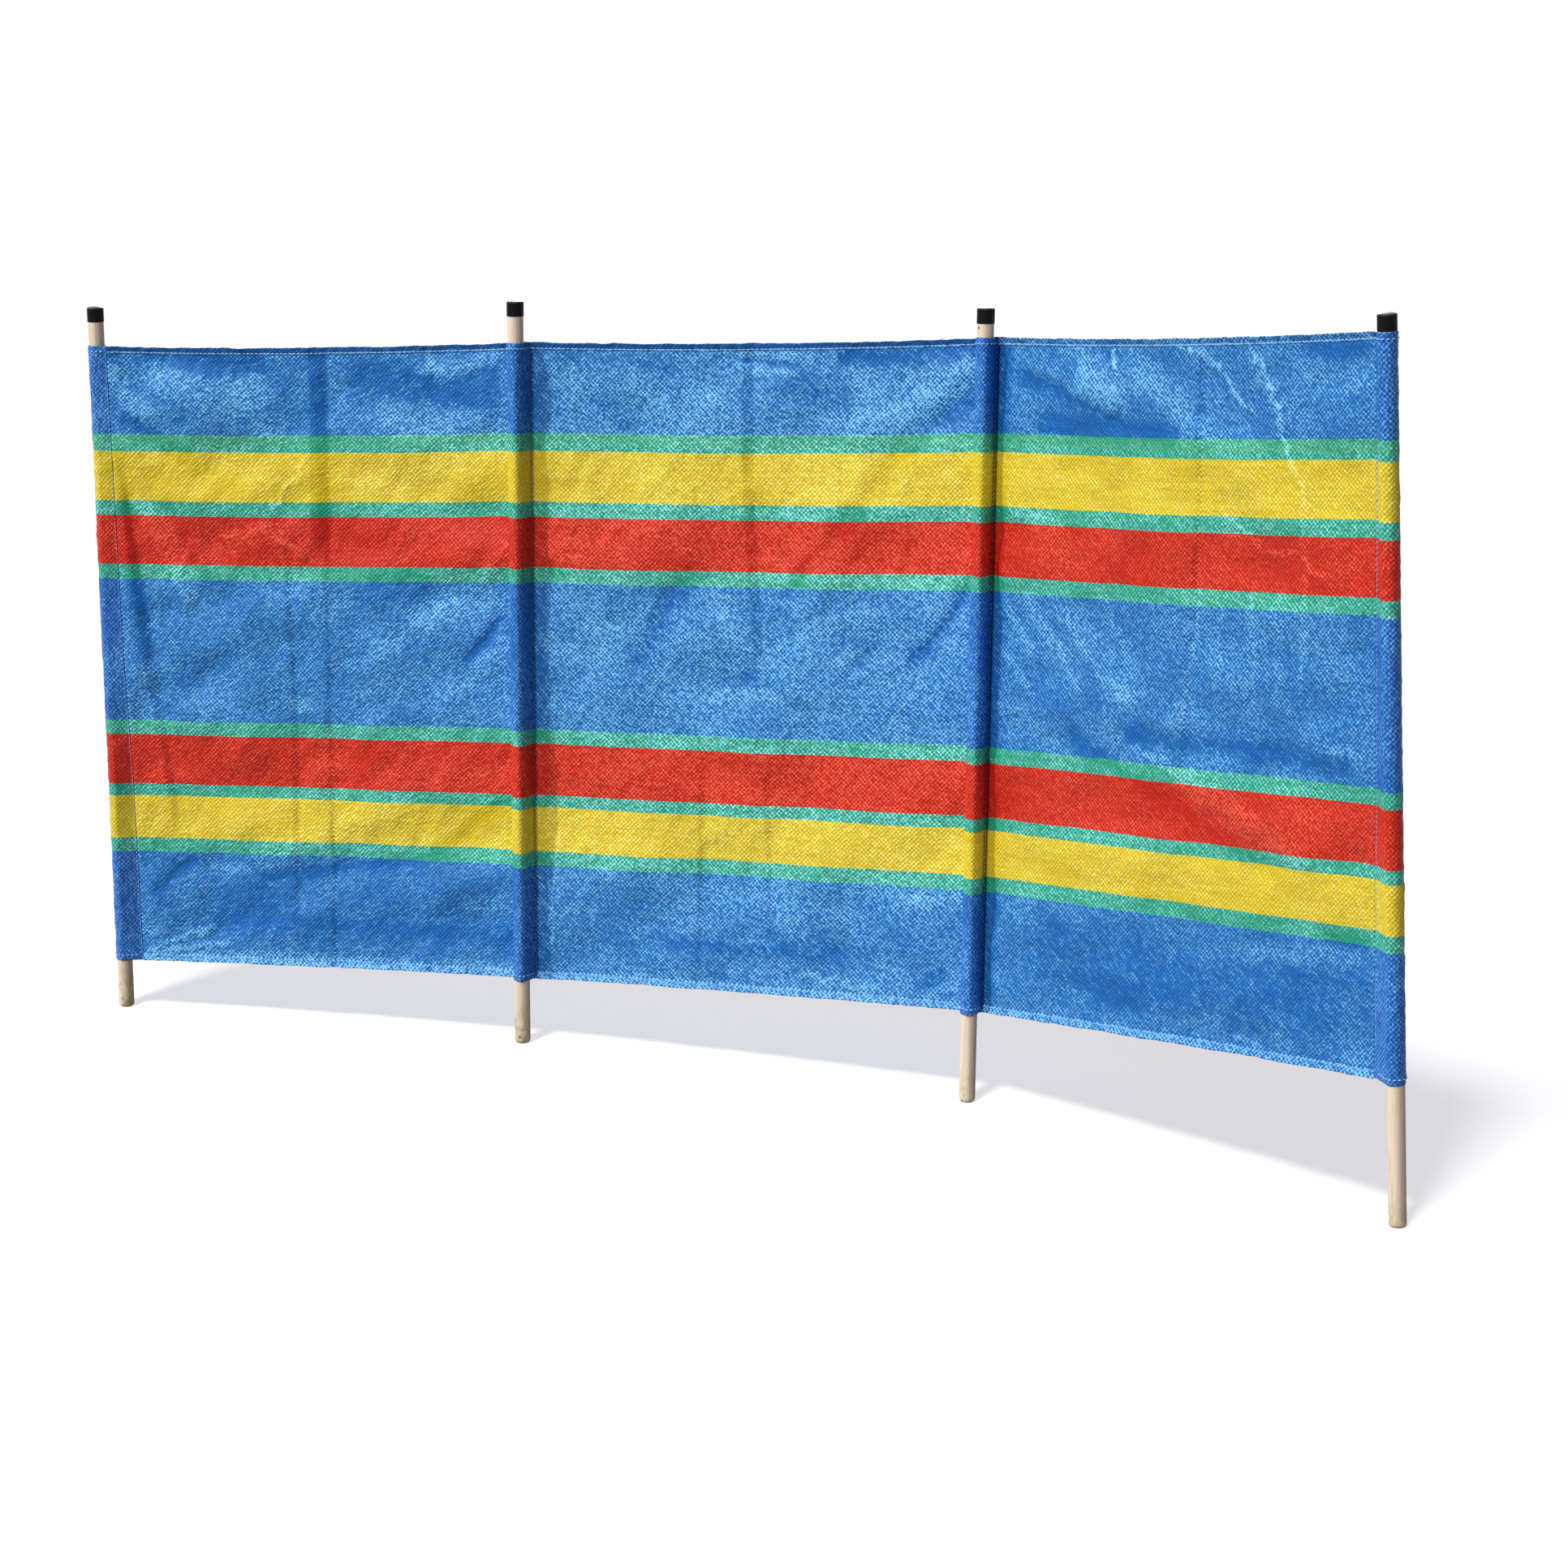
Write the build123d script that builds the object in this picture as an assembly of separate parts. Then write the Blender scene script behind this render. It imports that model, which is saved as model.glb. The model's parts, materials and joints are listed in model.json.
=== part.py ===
from build123d import *
import os
from math import acos, atan2, cos, hypot, radians, sin, tan

# Beach windbreak, in millimetres. Four wooden poles stand in the ground and carry one
# striped sheet of woven polyethylene, which runs on in three bays. The sheet is sewn
# into a pocket round each pole and hemmed along its top and bottom edges.
# The origin is the middle of the first pole's foot. +X runs along the windbreak to the
# last pole, -Y is the face on which the two inner pockets stand proud, +Z is up.

# Poles: plain round dowels, modelled from ground level up.
pole_diameter = 22.0
foot_rounding = 4.5
pole_top_chamfer = 1.0

# Caps: thin moulded cups pushed over the top end of each pole.
cap_height = 21.0
cap_wall = 0.7
cap_crown = 2.0
cap_brim_bevel = 1.4
cap_fit = 0.05

# Cloth: thicker than the real woven sheet, so that it is a sound solid.
cloth_height = 900.0
cloth_thickness = 0.6
hem_height = 9.5
hem_layers = 2
hem_fold_bevel = 0.35
hem_inset = 0.05

# Pockets: a loop of the sheet, tangent to the pole and sewn shut beside it.
pocket_gap = 0.2
seam_distances = (25.0, 18.5, 14.0, 23.0)
seam_strip = 3.0

# Bays: distance from pole to pole, and the compass heading of each bay from +X.
bay_spans = (625.0, 672.0, 680.0)
bay_headings = (11.2, 4.9, -15.2)
bay_bellies = (8.0, 8.0, 6.0)
top_edge_sag = 5.5

# Each pole as it stands: its lean towards +X and +Y in degrees, the length of wood below
# its cloth, and the length of wood that shows between the cloth and the cap.
lean_angles_x = (0.25, 0.25, -0.5, -2.6)
lean_angles_y = (0.35, 0.95, 3.0, -1.35)
bare_lengths_below = (73.0, 93.0, 122.5, 182.5)
bare_lengths_above = (33.0, 35.5, 17.5, 0.5)

# Worked out from the sizes above.
pole_radius = pole_diameter / 2
hem_thickness = hem_layers * cloth_thickness
pocket_radius = pole_radius + pocket_gap + hem_thickness
pole_count = len(lean_angles_x)
last_pole = pole_count - 1


def heading_vector(heading):
    """Level unit vector along a bay."""
    return Vector(cos(radians(heading)), sin(radians(heading)), 0)


def pole_foot(index):
    """Middle of a pole's foot, reached from pole to pole along the bays."""
    foot = Vector(0, 0, 0)
    for span, heading in zip(bay_spans[:index], bay_headings[:index]):
        foot += heading_vector(heading) * span
    return foot


def upward(index):
    """Unit vector up a pole."""
    slope_x = tan(radians(lean_angles_x[index]))
    slope_y = tan(radians(lean_angles_y[index]))
    return Vector(slope_x, slope_y, 1).normalized()


def cloth_middle(index):
    """Point on a pole's axis, half way up its cloth."""
    return pole_foot(index) + upward(index) * (bare_lengths_below[index] + cloth_height / 2)


def pole_frame(index):
    """Frame of a pole: origin at its foot, z up along it, x along the bay that meets it."""
    bay_end = max(index, 1)
    along = cloth_middle(bay_end) - cloth_middle(bay_end - 1)
    across = upward(index).cross(along)
    return Plane(pole_foot(index), x_dir=across.cross(upward(index)), z_dir=upward(index))


def cloth_frame(index):
    """Frame of a pole, raised to the lower edge of its cloth."""
    return pole_frame(index).offset(bare_lengths_below[index])


def cap_start(index):
    """Distance up a pole, from the ground, at which its cap begins."""
    return bare_lengths_below[index] + cloth_height + bare_lengths_above[index]


def stands_in_middle(index):
    """True for the end poles, whose pockets lie in the plane of the sheet."""
    return index in (0, last_pole)


def seam_point(index):
    """Place of a pocket's seam in the pole's frame: along the bay, and front of the sheet."""
    side = -1 if index == last_pole else 1
    apex_x = side * seam_distances[index]
    if stands_in_middle(index):
        return apex_x, -cloth_thickness / 2
    return apex_x, pocket_radius


def make_pole(index):
    """Dowel cut off level at the ground, with a worn foot and a chamfered top."""
    frame = pole_frame(index)
    buried = pole_diameter
    length = cap_start(index) + cap_height - cap_crown
    dowel = Pos(0, 0, -buried) * Cylinder(
        pole_radius, length + buried, align=(Align.CENTER, Align.CENTER, Align.MIN)
    )
    dowel = chamfer(dowel.edges().sort_by(Axis.Z)[-1], pole_top_chamfer)
    ground = Pos(frame.origin) * Box(
        4 * pole_diameter,
        4 * pole_diameter,
        4 * buried,
        align=(Align.CENTER, Align.CENTER, Align.MAX),
    )
    pole = frame * dowel - ground
    return fillet(pole.edges().sort_by(Axis.Z)[0], foot_rounding)


def make_cap(index):
    """Moulded cup with a bevelled brim, pushed down on the top of its pole."""
    bore_radius = pole_radius + cap_fit
    radius = bore_radius + cap_wall
    seat = cap_height - cap_crown
    bore = Polyline((0, cap_height), (0, seat), (bore_radius, seat), (bore_radius, 0))
    wall = Polyline((bore_radius, 0), (radius, 0), (radius, cap_height), (0, cap_height))
    section = make_face(bore + wall)
    brim = section.vertices().group_by(Axis.X)[-1].sort_by(Axis.Y)[-1]
    section = chamfer(brim, cap_brim_bevel)
    cup = revolve(Plane.XZ * section, Axis.Z)
    return pole_frame(index).offset(cap_start(index)) * cup


def teardrop(radius, apex_x, apex_y):
    """Face of a circle about the origin, drawn out to a point by its two tangents."""
    middle = atan2(apex_y, apex_x)
    half_turn = acos(radius / hypot(apex_x, apex_y))
    first = (radius * cos(middle + half_turn), radius * sin(middle + half_turn))
    far = (-radius * cos(middle), -radius * sin(middle))
    second = (radius * cos(middle - half_turn), radius * sin(middle - half_turn))
    arc = ThreePointArc(first, far, second)
    apex = (apex_x, apex_y)
    return make_face(arc + Line(second, apex) + Line(apex, first))


def pocket_outline(index, depth):
    """Teardrop of a pocket, a given depth inside its outer face."""
    apex_x, sheet_front = seam_point(index)
    apex_y = 0 if stands_in_middle(index) else sheet_front
    share = (pocket_radius - depth) / pocket_radius
    return teardrop(pocket_radius - depth, apex_x * share, apex_y * share)


def make_sleeve(index):
    """Pocket of cloth round a pole, doubled at its mouths and sewn flat at its seam."""
    apex_x, sheet_front = seam_point(index)
    strip_back = hem_thickness / 2 if stands_in_middle(index) else sheet_front
    strip_x = apex_x - seam_strip / 2 if apex_x > 0 else apex_x + seam_strip / 2
    strip = Pos(strip_x, strip_back - hem_thickness / 2) * Rectangle(seam_strip, hem_thickness)
    sleeve = extrude(pocket_outline(index, 0) + strip, cloth_height)
    sleeve -= extrude(pocket_outline(index, hem_thickness), cloth_height)
    hollow = extrude(pocket_outline(index, cloth_thickness), cloth_height - 2 * hem_height)
    sleeve -= Pos(0, 0, hem_height) * hollow
    return cloth_frame(index) * sleeve


def edge_frame(index):
    """Frame of the sheet's cut edge at a seam: x to the back of the sheet, y up the seam."""
    apex_x, sheet_front = seam_point(index)
    frame = cloth_frame(index)
    corner = frame.from_local_coords(Vector(apex_x, sheet_front, 0))
    return Plane(corner, x_dir=frame.y_dir, z_dir=frame.x_dir)


def sheet_frames(bay):
    """Frames of a bay's sheet at its first seam, its middle and its last seam."""
    first = edge_frame(bay)
    last = edge_frame(bay + 1)
    backward = (first.x_dir + last.x_dir).normalized()
    middle = Plane(
        (first.origin + last.origin) * 0.5 + backward * bay_bellies[bay],
        x_dir=backward,
        z_dir=first.z_dir + last.z_dir,
    )
    return first, middle, last


def sheet_loft(bay, section):
    """Loft along a bay of a section drawn for a given height of the sheet's top edge."""
    heights = (cloth_height, cloth_height - top_edge_sag, cloth_height)
    return loft([frame * section(top) for frame, top in zip(sheet_frames(bay), heights)])


def panel_section(top):
    """Single layer of cloth between the two hems."""
    height = top - 2 * hem_height
    corner = Pos(cloth_thickness / 2, hem_height + height / 2)
    return corner * Rectangle(cloth_thickness, height)


def hem_section(edge, fold_side):
    """Doubled edge of the cloth, turned to the back, with its fold eased."""
    height = hem_height - hem_inset
    middle = edge - fold_side * height / 2
    band = Pos(hem_thickness / 2, middle) * Rectangle(hem_thickness, height)
    rim = band.vertices().group_by(Axis.Y)[-1 if fold_side > 0 else 0]
    return chamfer(rim, hem_fold_bevel)


def top_hem_section(top):
    """Hem along the top edge."""
    return hem_section(top, 1)


def bottom_hem_section(top):
    """Hem along the bottom edge, wherever the top edge is."""
    return hem_section(0, -1)


nodes = {}
for pole in range(pole_count):
    nodes[f"pole_{pole + 1}"] = make_pole(pole)
    nodes[f"cap_{pole + 1}"] = make_cap(pole)
    nodes[f"sleeve_{pole + 1}"] = make_sleeve(pole)
for bay in range(len(bay_spans)):
    nodes[f"panel_{bay + 1}"] = sheet_loft(bay, panel_section)
    nodes[f"top_hem_{bay + 1}"] = sheet_loft(bay, top_hem_section)
    nodes[f"bottom_hem_{bay + 1}"] = sheet_loft(bay, bottom_hem_section)

os.makedirs("parts", exist_ok=True)
for name, shape in nodes.items():
    export_step(shape, f"parts/{name}.step")
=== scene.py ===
"""Beach windbreak: the looks of its cloth, poles, caps and stitching.

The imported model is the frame. It says where each pole stands and leans, where its cloth
begins and ends, and where its pocket is sewn. Each class builds one sub-assembly round
that frame, in metres, from sizes that its fields give in millimetres.
"""

import json
import logging
import math
from dataclasses import dataclass, field, replace
from enum import Enum
from functools import reduce

import bpy
import numpy as np
from mathutils import Matrix, Vector


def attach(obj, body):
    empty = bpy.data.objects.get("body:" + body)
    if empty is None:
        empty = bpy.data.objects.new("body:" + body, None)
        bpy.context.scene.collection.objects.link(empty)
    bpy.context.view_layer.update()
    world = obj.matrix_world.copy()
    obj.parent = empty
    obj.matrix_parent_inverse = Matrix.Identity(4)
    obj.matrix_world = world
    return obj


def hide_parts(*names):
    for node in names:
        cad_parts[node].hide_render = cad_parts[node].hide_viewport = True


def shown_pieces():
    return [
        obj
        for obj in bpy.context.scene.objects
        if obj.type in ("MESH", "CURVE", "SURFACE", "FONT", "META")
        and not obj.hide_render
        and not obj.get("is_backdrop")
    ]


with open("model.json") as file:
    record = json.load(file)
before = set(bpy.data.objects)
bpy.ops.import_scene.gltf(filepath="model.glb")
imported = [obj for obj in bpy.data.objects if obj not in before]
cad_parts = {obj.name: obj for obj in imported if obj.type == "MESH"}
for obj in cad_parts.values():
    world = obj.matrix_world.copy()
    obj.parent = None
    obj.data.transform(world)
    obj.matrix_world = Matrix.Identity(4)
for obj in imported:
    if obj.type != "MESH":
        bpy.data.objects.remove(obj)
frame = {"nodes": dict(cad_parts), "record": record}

MM = 0.001
BODY = "root"
CLOTH_MAP = "cloth"
BAKE_MAP = "OFBake"
RIM_BAKE = (0.5, 0.99)
GRID_BAKE = (0.01, 0.01, 0.99, 0.99)
log = logging.getLogger("windbreak")


class Slot(Enum):
    """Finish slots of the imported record."""

    WOOD = "pole_wood"
    CAP = "black_cap"
    CLOTH = "striped_cloth"
    HEM = "hem_cloth"


class Profile(Enum):
    """Cross-section of a fold in the cloth."""

    RIDGE = "ridge"
    CREASE = "crease"
    PLEAT = "pleat"


# ---------------------------------------------------------------- small helpers


def linear(red: float, green: float, blue: float) -> tuple[float, float, float, float]:
    """Turns a colour as it is seen on a screen into the linear one that shaders take.

    Args:
        red: Share of red, from 0 to 1.
        green: Share of green, from 0 to 1.
        blue: Share of blue, from 0 to 1.

    Returns:
        The linear colour, with an alpha of 1.
    """
    parts = [
        part / 12.92 if part <= 0.04045 else ((part + 0.055) / 1.055) ** 2.4
        for part in (red, green, blue)
    ]
    return (*parts, 1.0)


def ease(share: np.ndarray) -> np.ndarray:
    """Eases shares from 0 to 1 in and out, and holds them there."""
    held = np.clip(share, 0.0, 1.0)
    return held * held * (3.0 - 2.0 * held)


def unit(vectors: np.ndarray) -> np.ndarray:
    """Scales vectors in the last axis to a length of 1."""
    return vectors / np.linalg.norm(vectors, axis=-1, keepdims=True)


def turns(count: int) -> np.ndarray:
    """Angles of places spaced evenly round a ring."""
    return np.linspace(0, 2 * math.pi, count, endpoint=False)


def runs(points: np.ndarray) -> np.ndarray:
    """Distance of each point from the first, along the line through them."""
    return np.concatenate([[0], np.cumsum(np.linalg.norm(np.diff(points, axis=0), axis=1))])


def node_points(name: str) -> np.ndarray:
    """Reads the points of a CAD node's mesh.

    Args:
        name: The node's name.

    Returns:
        One row of x, y and z for each point, in metres.
    """
    mesh = frame["nodes"][name].data
    flat = np.empty(len(mesh.vertices) * 3)
    mesh.vertices.foreach_get("co", flat)
    return flat.reshape(-1, 3)


@dataclass
class Draft:
    """Points, faces and maps of a mesh on their way to an object."""

    name: str
    points: list = field(default_factory=list)
    faces: list = field(default_factory=list)
    cloth: list = field(default_factory=list)
    bake: list = field(default_factory=list)
    wear_and_sheen: list = field(default_factory=list)
    count: int = 0

    def add(
        self,
        points: np.ndarray,
        faces: np.ndarray,
        cloth: np.ndarray,
        bake: np.ndarray,
        wear_and_sheen: np.ndarray | None = None,
    ) -> None:
        """Adds points with faces of one number of corners.

        Args:
            points: One row for each point.
            faces: One row of point numbers for each face.
            cloth: Place on the cloth of each face's corners, in metres.
            bake: Place on the baked map of each face's corners, from 0 to 1.
            wear_and_sheen: How scuffed each point is, and its painted sheen and shade, from 0 to 1.
        """
        self.points.append(points)
        self.faces.append(faces + self.count)
        self.cloth.append(cloth)
        self.bake.append(bake)
        self.wear_and_sheen.append(np.zeros(len(points)) if wear_and_sheen is None else wear_and_sheen)
        self.count += len(points)

    def add_faces(
        self, start: int, faces: np.ndarray, cloth: np.ndarray, bake: np.ndarray
    ) -> None:
        """Adds faces on points that are there already, numbered from a start."""
        self.add(np.zeros((0, 3)), faces + start - self.count, cloth, bake)

    def add_grid(
        self,
        grid: np.ndarray,
        cloth: np.ndarray,
        window: tuple[float, float, float, float],
        wrap: bool = False,
        flip: bool = False,
        wear_and_sheen: np.ndarray | None = None,
    ) -> None:
        """Adds a grid of points with a quad in each cell.

        Args:
            grid: Points by row and column.
            cloth: Places on the cloth by row and column, with one more column on a wrap.
            window: Left, low, right and high edge of the grid on the baked map.
            wrap: Whether the last column joins the first.
            flip: Whether the faces look the other way.
            wear_and_sheen: How scuffed each point is, and its painted sheen and shade, by row and
                column.
        """
        rows, columns = grid.shape[:2]
        cells = columns if wrap else columns - 1
        row = np.arange(rows - 1)[:, None]
        column = np.arange(cells)[None, :]
        across = [column, column + 1, column + 1, column]
        down = [row, row, row + 1, row + 1]
        corners = [(r * columns + c % columns).ravel() for r, c in zip(down, across)]
        left, low, right, high = window
        maps = [cloth[r, c].reshape(-1, 2) for r, c in zip(down, across)]
        bakes = []
        for r, c in zip(down, across):
            x, y = left + (right - left) * c / cells, low + (high - low) * r / (rows - 1)
            bakes.append(np.stack(np.broadcast_arrays(x, y), axis=-1).reshape(-1, 2))
        order = [0, 3, 2, 1] if flip else [0, 1, 2, 3]
        stacks = [np.stack([part[k] for k in order], axis=1) for part in (corners, maps, bakes)]
        self.add(grid.reshape(-1, 3), *stacks, None if wear_and_sheen is None else wear_and_sheen.ravel())

    def build(self, material: bpy.types.Material, slot: Slot) -> bpy.types.Object:
        """Makes the object, dresses it and sets it on its body.

        Args:
            material: The finish.
            slot: The record's slot for it; not used.

        Returns:
            The object, linked to the scene.
        """
        mesh = bpy.data.meshes.new(self.name)
        points = np.concatenate(self.points)
        sizes = np.concatenate([np.full(len(f), f.shape[1]) for f in self.faces])
        loops = np.concatenate([f.ravel() for f in self.faces])
        mesh.vertices.add(len(points))
        mesh.vertices.foreach_set("co", points.astype(np.float32).ravel())
        mesh.loops.add(len(loops))
        mesh.loops.foreach_set("vertex_index", loops.astype(np.int32))
        mesh.polygons.add(len(sizes))
        starts = np.concatenate([[0], np.cumsum(sizes)[:-1]])
        mesh.polygons.foreach_set("loop_start", starts.astype(np.int32))
        mesh.update(calc_edges=True)
        for name, parts in ((CLOTH_MAP, self.cloth), (BAKE_MAP, self.bake)):
            layer = mesh.uv_layers.new(name=name)
            flat = np.concatenate([part.reshape(-1, 2) for part in parts])
            layer.data.foreach_set("uv", flat.astype(np.float32).ravel())
        # This attribute carries scuffing together with painted sheen and painted shade.
        worn_and_sheen = mesh.attributes.new("wear_and_sheen", "FLOAT", "POINT")
        worn_and_sheen.data.foreach_set("value", np.concatenate(self.wear_and_sheen).astype(np.float32))
        mesh.validate()
        mesh.shade_smooth()
        mesh.materials.append(material)
        piece = bpy.data.objects.new(self.name, mesh)
        bpy.context.scene.collection.objects.link(piece)
        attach(piece, BODY)
        return piece


def grid_cells(rows: int, columns: int) -> np.ndarray:
    """Point numbers at the corners of each cell of a grid, one row of four for each."""
    row = np.arange(rows - 1)[:, None]
    column = np.arange(columns - 1)[None, :]
    first = (row * columns + column).ravel()
    return np.stack([first, first + 1, first + 1 + columns, first + columns], axis=1)


def rim_cells(front: np.ndarray, back: np.ndarray, step: int) -> np.ndarray:
    """Faces that join an edge of a grid to the like edge of a coarser one behind it.

    Args:
        front: Point numbers along the fine edge.
        back: Point numbers along the coarse edge, in the same direction.
        step: Fine cells for each coarse one.

    Returns:
        One row of point numbers for each face.
    """
    count = len(back) - 1
    fine = [front[k : k + step * (count - 1) + 1 : step] for k in range(step, -1, -1)]
    return np.stack([back[:-1], back[1:], *fine], axis=1)


def shell(
    draft: Draft,
    face: np.ndarray,
    behind: np.ndarray,
    cloth: np.ndarray,
    wear_and_sheen: np.ndarray | None = None,
    step: int = 1,
) -> None:
    """Adds a thin closed sheet: a grid, a like grid behind it and the rim between them.

    Args:
        draft: The mesh that the sheet joins.
        face: Points of the outer side, by row and column.
        behind: Points of the inner side, in the same order.
        cloth: Places on the cloth, by row and column.
        wear_and_sheen: How scuffed each point is, and its painted sheen and shade, by row and
            column.
        step: How many cells of the outer side match one of the inner side.
    """
    rows, columns = face.shape[:2]
    behind = behind[::step, ::step]
    back_rows, back_columns = behind.shape[:2]
    size = rows * columns
    front_ids = np.arange(size).reshape(rows, columns)
    back_ids = size + np.arange(back_rows * back_columns).reshape(back_rows, back_columns)
    rims = [
        rim_cells(front_ids[0], back_ids[0], step),
        rim_cells(front_ids[-1], back_ids[-1], step)[:, ::-1],
        rim_cells(front_ids[:, 0], back_ids[:, 0], step)[:, ::-1],
        rim_cells(front_ids[:, -1], back_ids[:, -1], step),
    ]
    share = np.stack(
        np.meshgrid(np.linspace(0, 1, columns), np.linspace(0, 1, rows)), axis=-1
    )
    halves = [
        part.reshape(-1, 2) * [side * 0.485, 0.97] + [0.005 if side > 0 else 0.995, 0.01]
        for part, side in ((share, 1), (share[::step, ::step], -1))
    ]
    bakes = np.concatenate(halves)
    places = np.concatenate([cloth.reshape(-1, 2), cloth[::step, ::step].reshape(-1, 2)])
    worn_and_sheen = np.zeros((rows, columns)) if wear_and_sheen is None else wear_and_sheen
    points = np.concatenate([face.reshape(-1, 3), behind.reshape(-1, 3)])
    outer = grid_cells(rows, columns)
    inner = grid_cells(back_rows, back_columns)[:, ::-1] + size
    start = draft.count
    worn_and_sheen = np.concatenate([worn_and_sheen.ravel(), worn_and_sheen[::step, ::step].ravel()])
    draft.add(points, outer, places[outer], bakes[outer], worn_and_sheen)
    draft.add_faces(start, inner, places[inner], bakes[inner])
    for faces in rims:
        draft.add_faces(start, faces, places[faces], np.full((*faces.shape, 2), RIM_BAKE))


def grid_normals(grid: np.ndarray) -> np.ndarray:
    """Normals of a grid whose columns run along and whose rows run up.

    Args:
        grid: Points by row and column.

    Returns:
        Unit vectors by row and column, on the side that a look along +Y sees.
    """
    along = np.gradient(grid, axis=1)
    upward = np.gradient(grid, axis=0)
    return unit(np.cross(along, upward))


# ---------------------------------------------------------------- the frame


@dataclass(frozen=True)
class Stand:
    """One pole as the frame holds it: its axes, and sizes up and beside it, in metres."""

    number: int
    foot: np.ndarray
    up: np.ndarray
    along: np.ndarray
    back: np.ndarray
    pole_radius: float
    wood_top: float
    cap_low: float
    cap_top: float
    cap_radius: float
    cloth_low: float
    cloth_high: float
    pocket_radius: float
    seam_along: float
    seam_back: float
    seam_taper: float
    seam_pull: float = 0.0

    @property
    def cloth_height(self) -> float:
        """Height of the cloth on this pole."""
        return self.cloth_high - self.cloth_low

    @property
    def side(self) -> float:
        """1 where the seam lies further along the bay than the pole, and -1 where it doesn't."""
        return math.copysign(1.0, self.seam_along)

    @property
    def inner(self) -> bool:
        """Whether the sheet runs on past this pole, behind its pocket."""
        return self.seam_back > 0.5 * self.pocket_radius

    def place(self, along: np.ndarray, back: np.ndarray, up: np.ndarray) -> np.ndarray:
        """Turns sizes along, behind and up the pole into points of the frame.

        Args:
            along: Distances along the bay.
            back: Distances towards the back.
            up: Distances up the pole from the ground.

        Returns:
            Points, with x, y and z in the last axis.
        """
        along, back, up = np.broadcast_arrays(along, back, up)
        return (
            self.foot
            + along[..., None] * self.along
            + back[..., None] * self.back
            + up[..., None] * self.up
        )

    def seam_reach(self, height: np.ndarray) -> np.ndarray:
        """Distance of the pocket's seam from the axis, at heights up the cloth."""
        share = np.asarray(height) / self.cloth_height
        return self.seam_along + self.seam_taper * (0.5 - share)

    def seam_level(self, height: np.ndarray) -> np.ndarray:
        """How far the seam lies behind the axis. Its upper part may be drawn forward."""
        share = np.asarray(height) / self.cloth_height
        return self.seam_back - self.seam_pull * ease((share - 0.28) / 0.25)

    def seam(self, height: np.ndarray) -> np.ndarray:
        """Points of the pocket's seam, at heights up the cloth."""
        height = np.asarray(height, float)
        return self.place(
            self.seam_reach(height), self.seam_level(height), self.cloth_low + height
        )


def measure_stands(tapers: tuple[float, ...], pulls: tuple[float, ...]) -> list[Stand]:
    """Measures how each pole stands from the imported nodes.

    Args:
        tapers: How much further each seam is at the bottom than at the top, in
            millimetres, away from the pole along the bay.
        pulls: How far the upper part of each seam is drawn forward, in millimetres.

    Returns:
        The stands, from the first pole to the last.
    """
    feet = [np.array(m["pos_m"]) for m in frame["record"]["mounts"]]
    ups, middles, ranges = [], [], []
    top_slab, seam_slab, in_line_limit = 2.5 * MM, 0.1 * MM, 0.5 * MM
    for index, foot in enumerate(feet):
        pole = node_points(f"pole_{index + 1}")
        top = pole[pole[:, 2] > pole[:, 2].max() - top_slab]
        up = unit((top.min(axis=0) + top.max(axis=0)) / 2 - foot)
        sleeve = (node_points(f"sleeve_{index + 1}") - foot) @ up
        ups.append(up)
        ranges.append((sleeve.min(), sleeve.max()))
        middles.append(foot + up * (sleeve.min() + sleeve.max()) / 2)
    stands = []
    for index, foot in enumerate(feet):
        bay_end = max(index, 1)
        up = ups[index]
        along = middles[bay_end] - middles[bay_end - 1]
        along = unit(along - up * (along @ up))
        back = np.cross(up, along)
        axes = np.stack([along, back, up], axis=1)
        pole, cap, sleeve = (
            (node_points(f"{kind}_{index + 1}") - foot) @ axes for kind in ("pole", "cap", "sleeve")
        )
        side = 1.0 if sleeve[:, 0].max() > -sleeve[:, 0].min() else -1.0
        reach = (side * sleeve[:, 0]).max()
        edge = sleeve[side * sleeve[:, 0] > reach - seam_slab]
        in_line = abs(edge[:, 1].max() + edge[:, 1].min()) < in_line_limit
        stands.append(
            Stand(
                number=index + 1,
                foot=foot,
                up=up,
                along=along,
                back=back,
                pole_radius=np.hypot(pole[:, 0], pole[:, 1]).max(),
                wood_top=pole[:, 2].max(),
                cap_low=cap[:, 2].min(),
                cap_top=cap[:, 2].max(),
                cap_radius=np.hypot(cap[:, 0], cap[:, 1]).max(),
                cloth_low=ranges[index][0],
                cloth_high=ranges[index][1],
                pocket_radius=-sleeve[:, 1].min(),
                seam_along=side * reach,
                seam_back=0.0 if in_line else edge[:, 1].max(),
                seam_taper=side * tapers[index] * MM,
                seam_pull=pulls[index] * MM,
            )
        )
    return stands


# ---------------------------------------------------------------- shapes of hung cloth

BROKEN_REACH = 5.0


@dataclass(frozen=True)
class Ripples:
    """A smooth uneven relief, from many waves that cross. Lengths are millimetres."""

    seed: int
    shortest: float
    longest: float
    waves: int = 26
    upright: float = 1.0

    def at(self, along: np.ndarray, height: np.ndarray) -> np.ndarray:
        """Relief at places on the cloth.

        Args:
            along: Distances along the bay, in millimetres.
            height: Heights, in millimetres.

        Returns:
            Values about 0, mostly between -1.5 and 1.5.
        """
        draw = np.random.default_rng(self.seed)
        total = np.zeros(np.broadcast(along, height).shape)
        for _ in range(self.waves):
            length = self.shortest * (self.longest / self.shortest) ** draw.random()
            turn = draw.random() * math.pi
            start = draw.random() * 2 * math.pi
            beat = 2 * math.pi / length
            total += np.sin(
                beat * (along * math.cos(turn) + height * math.sin(turn) / self.upright) + start
            )
        return total / math.sqrt(self.waves / 2)


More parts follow.
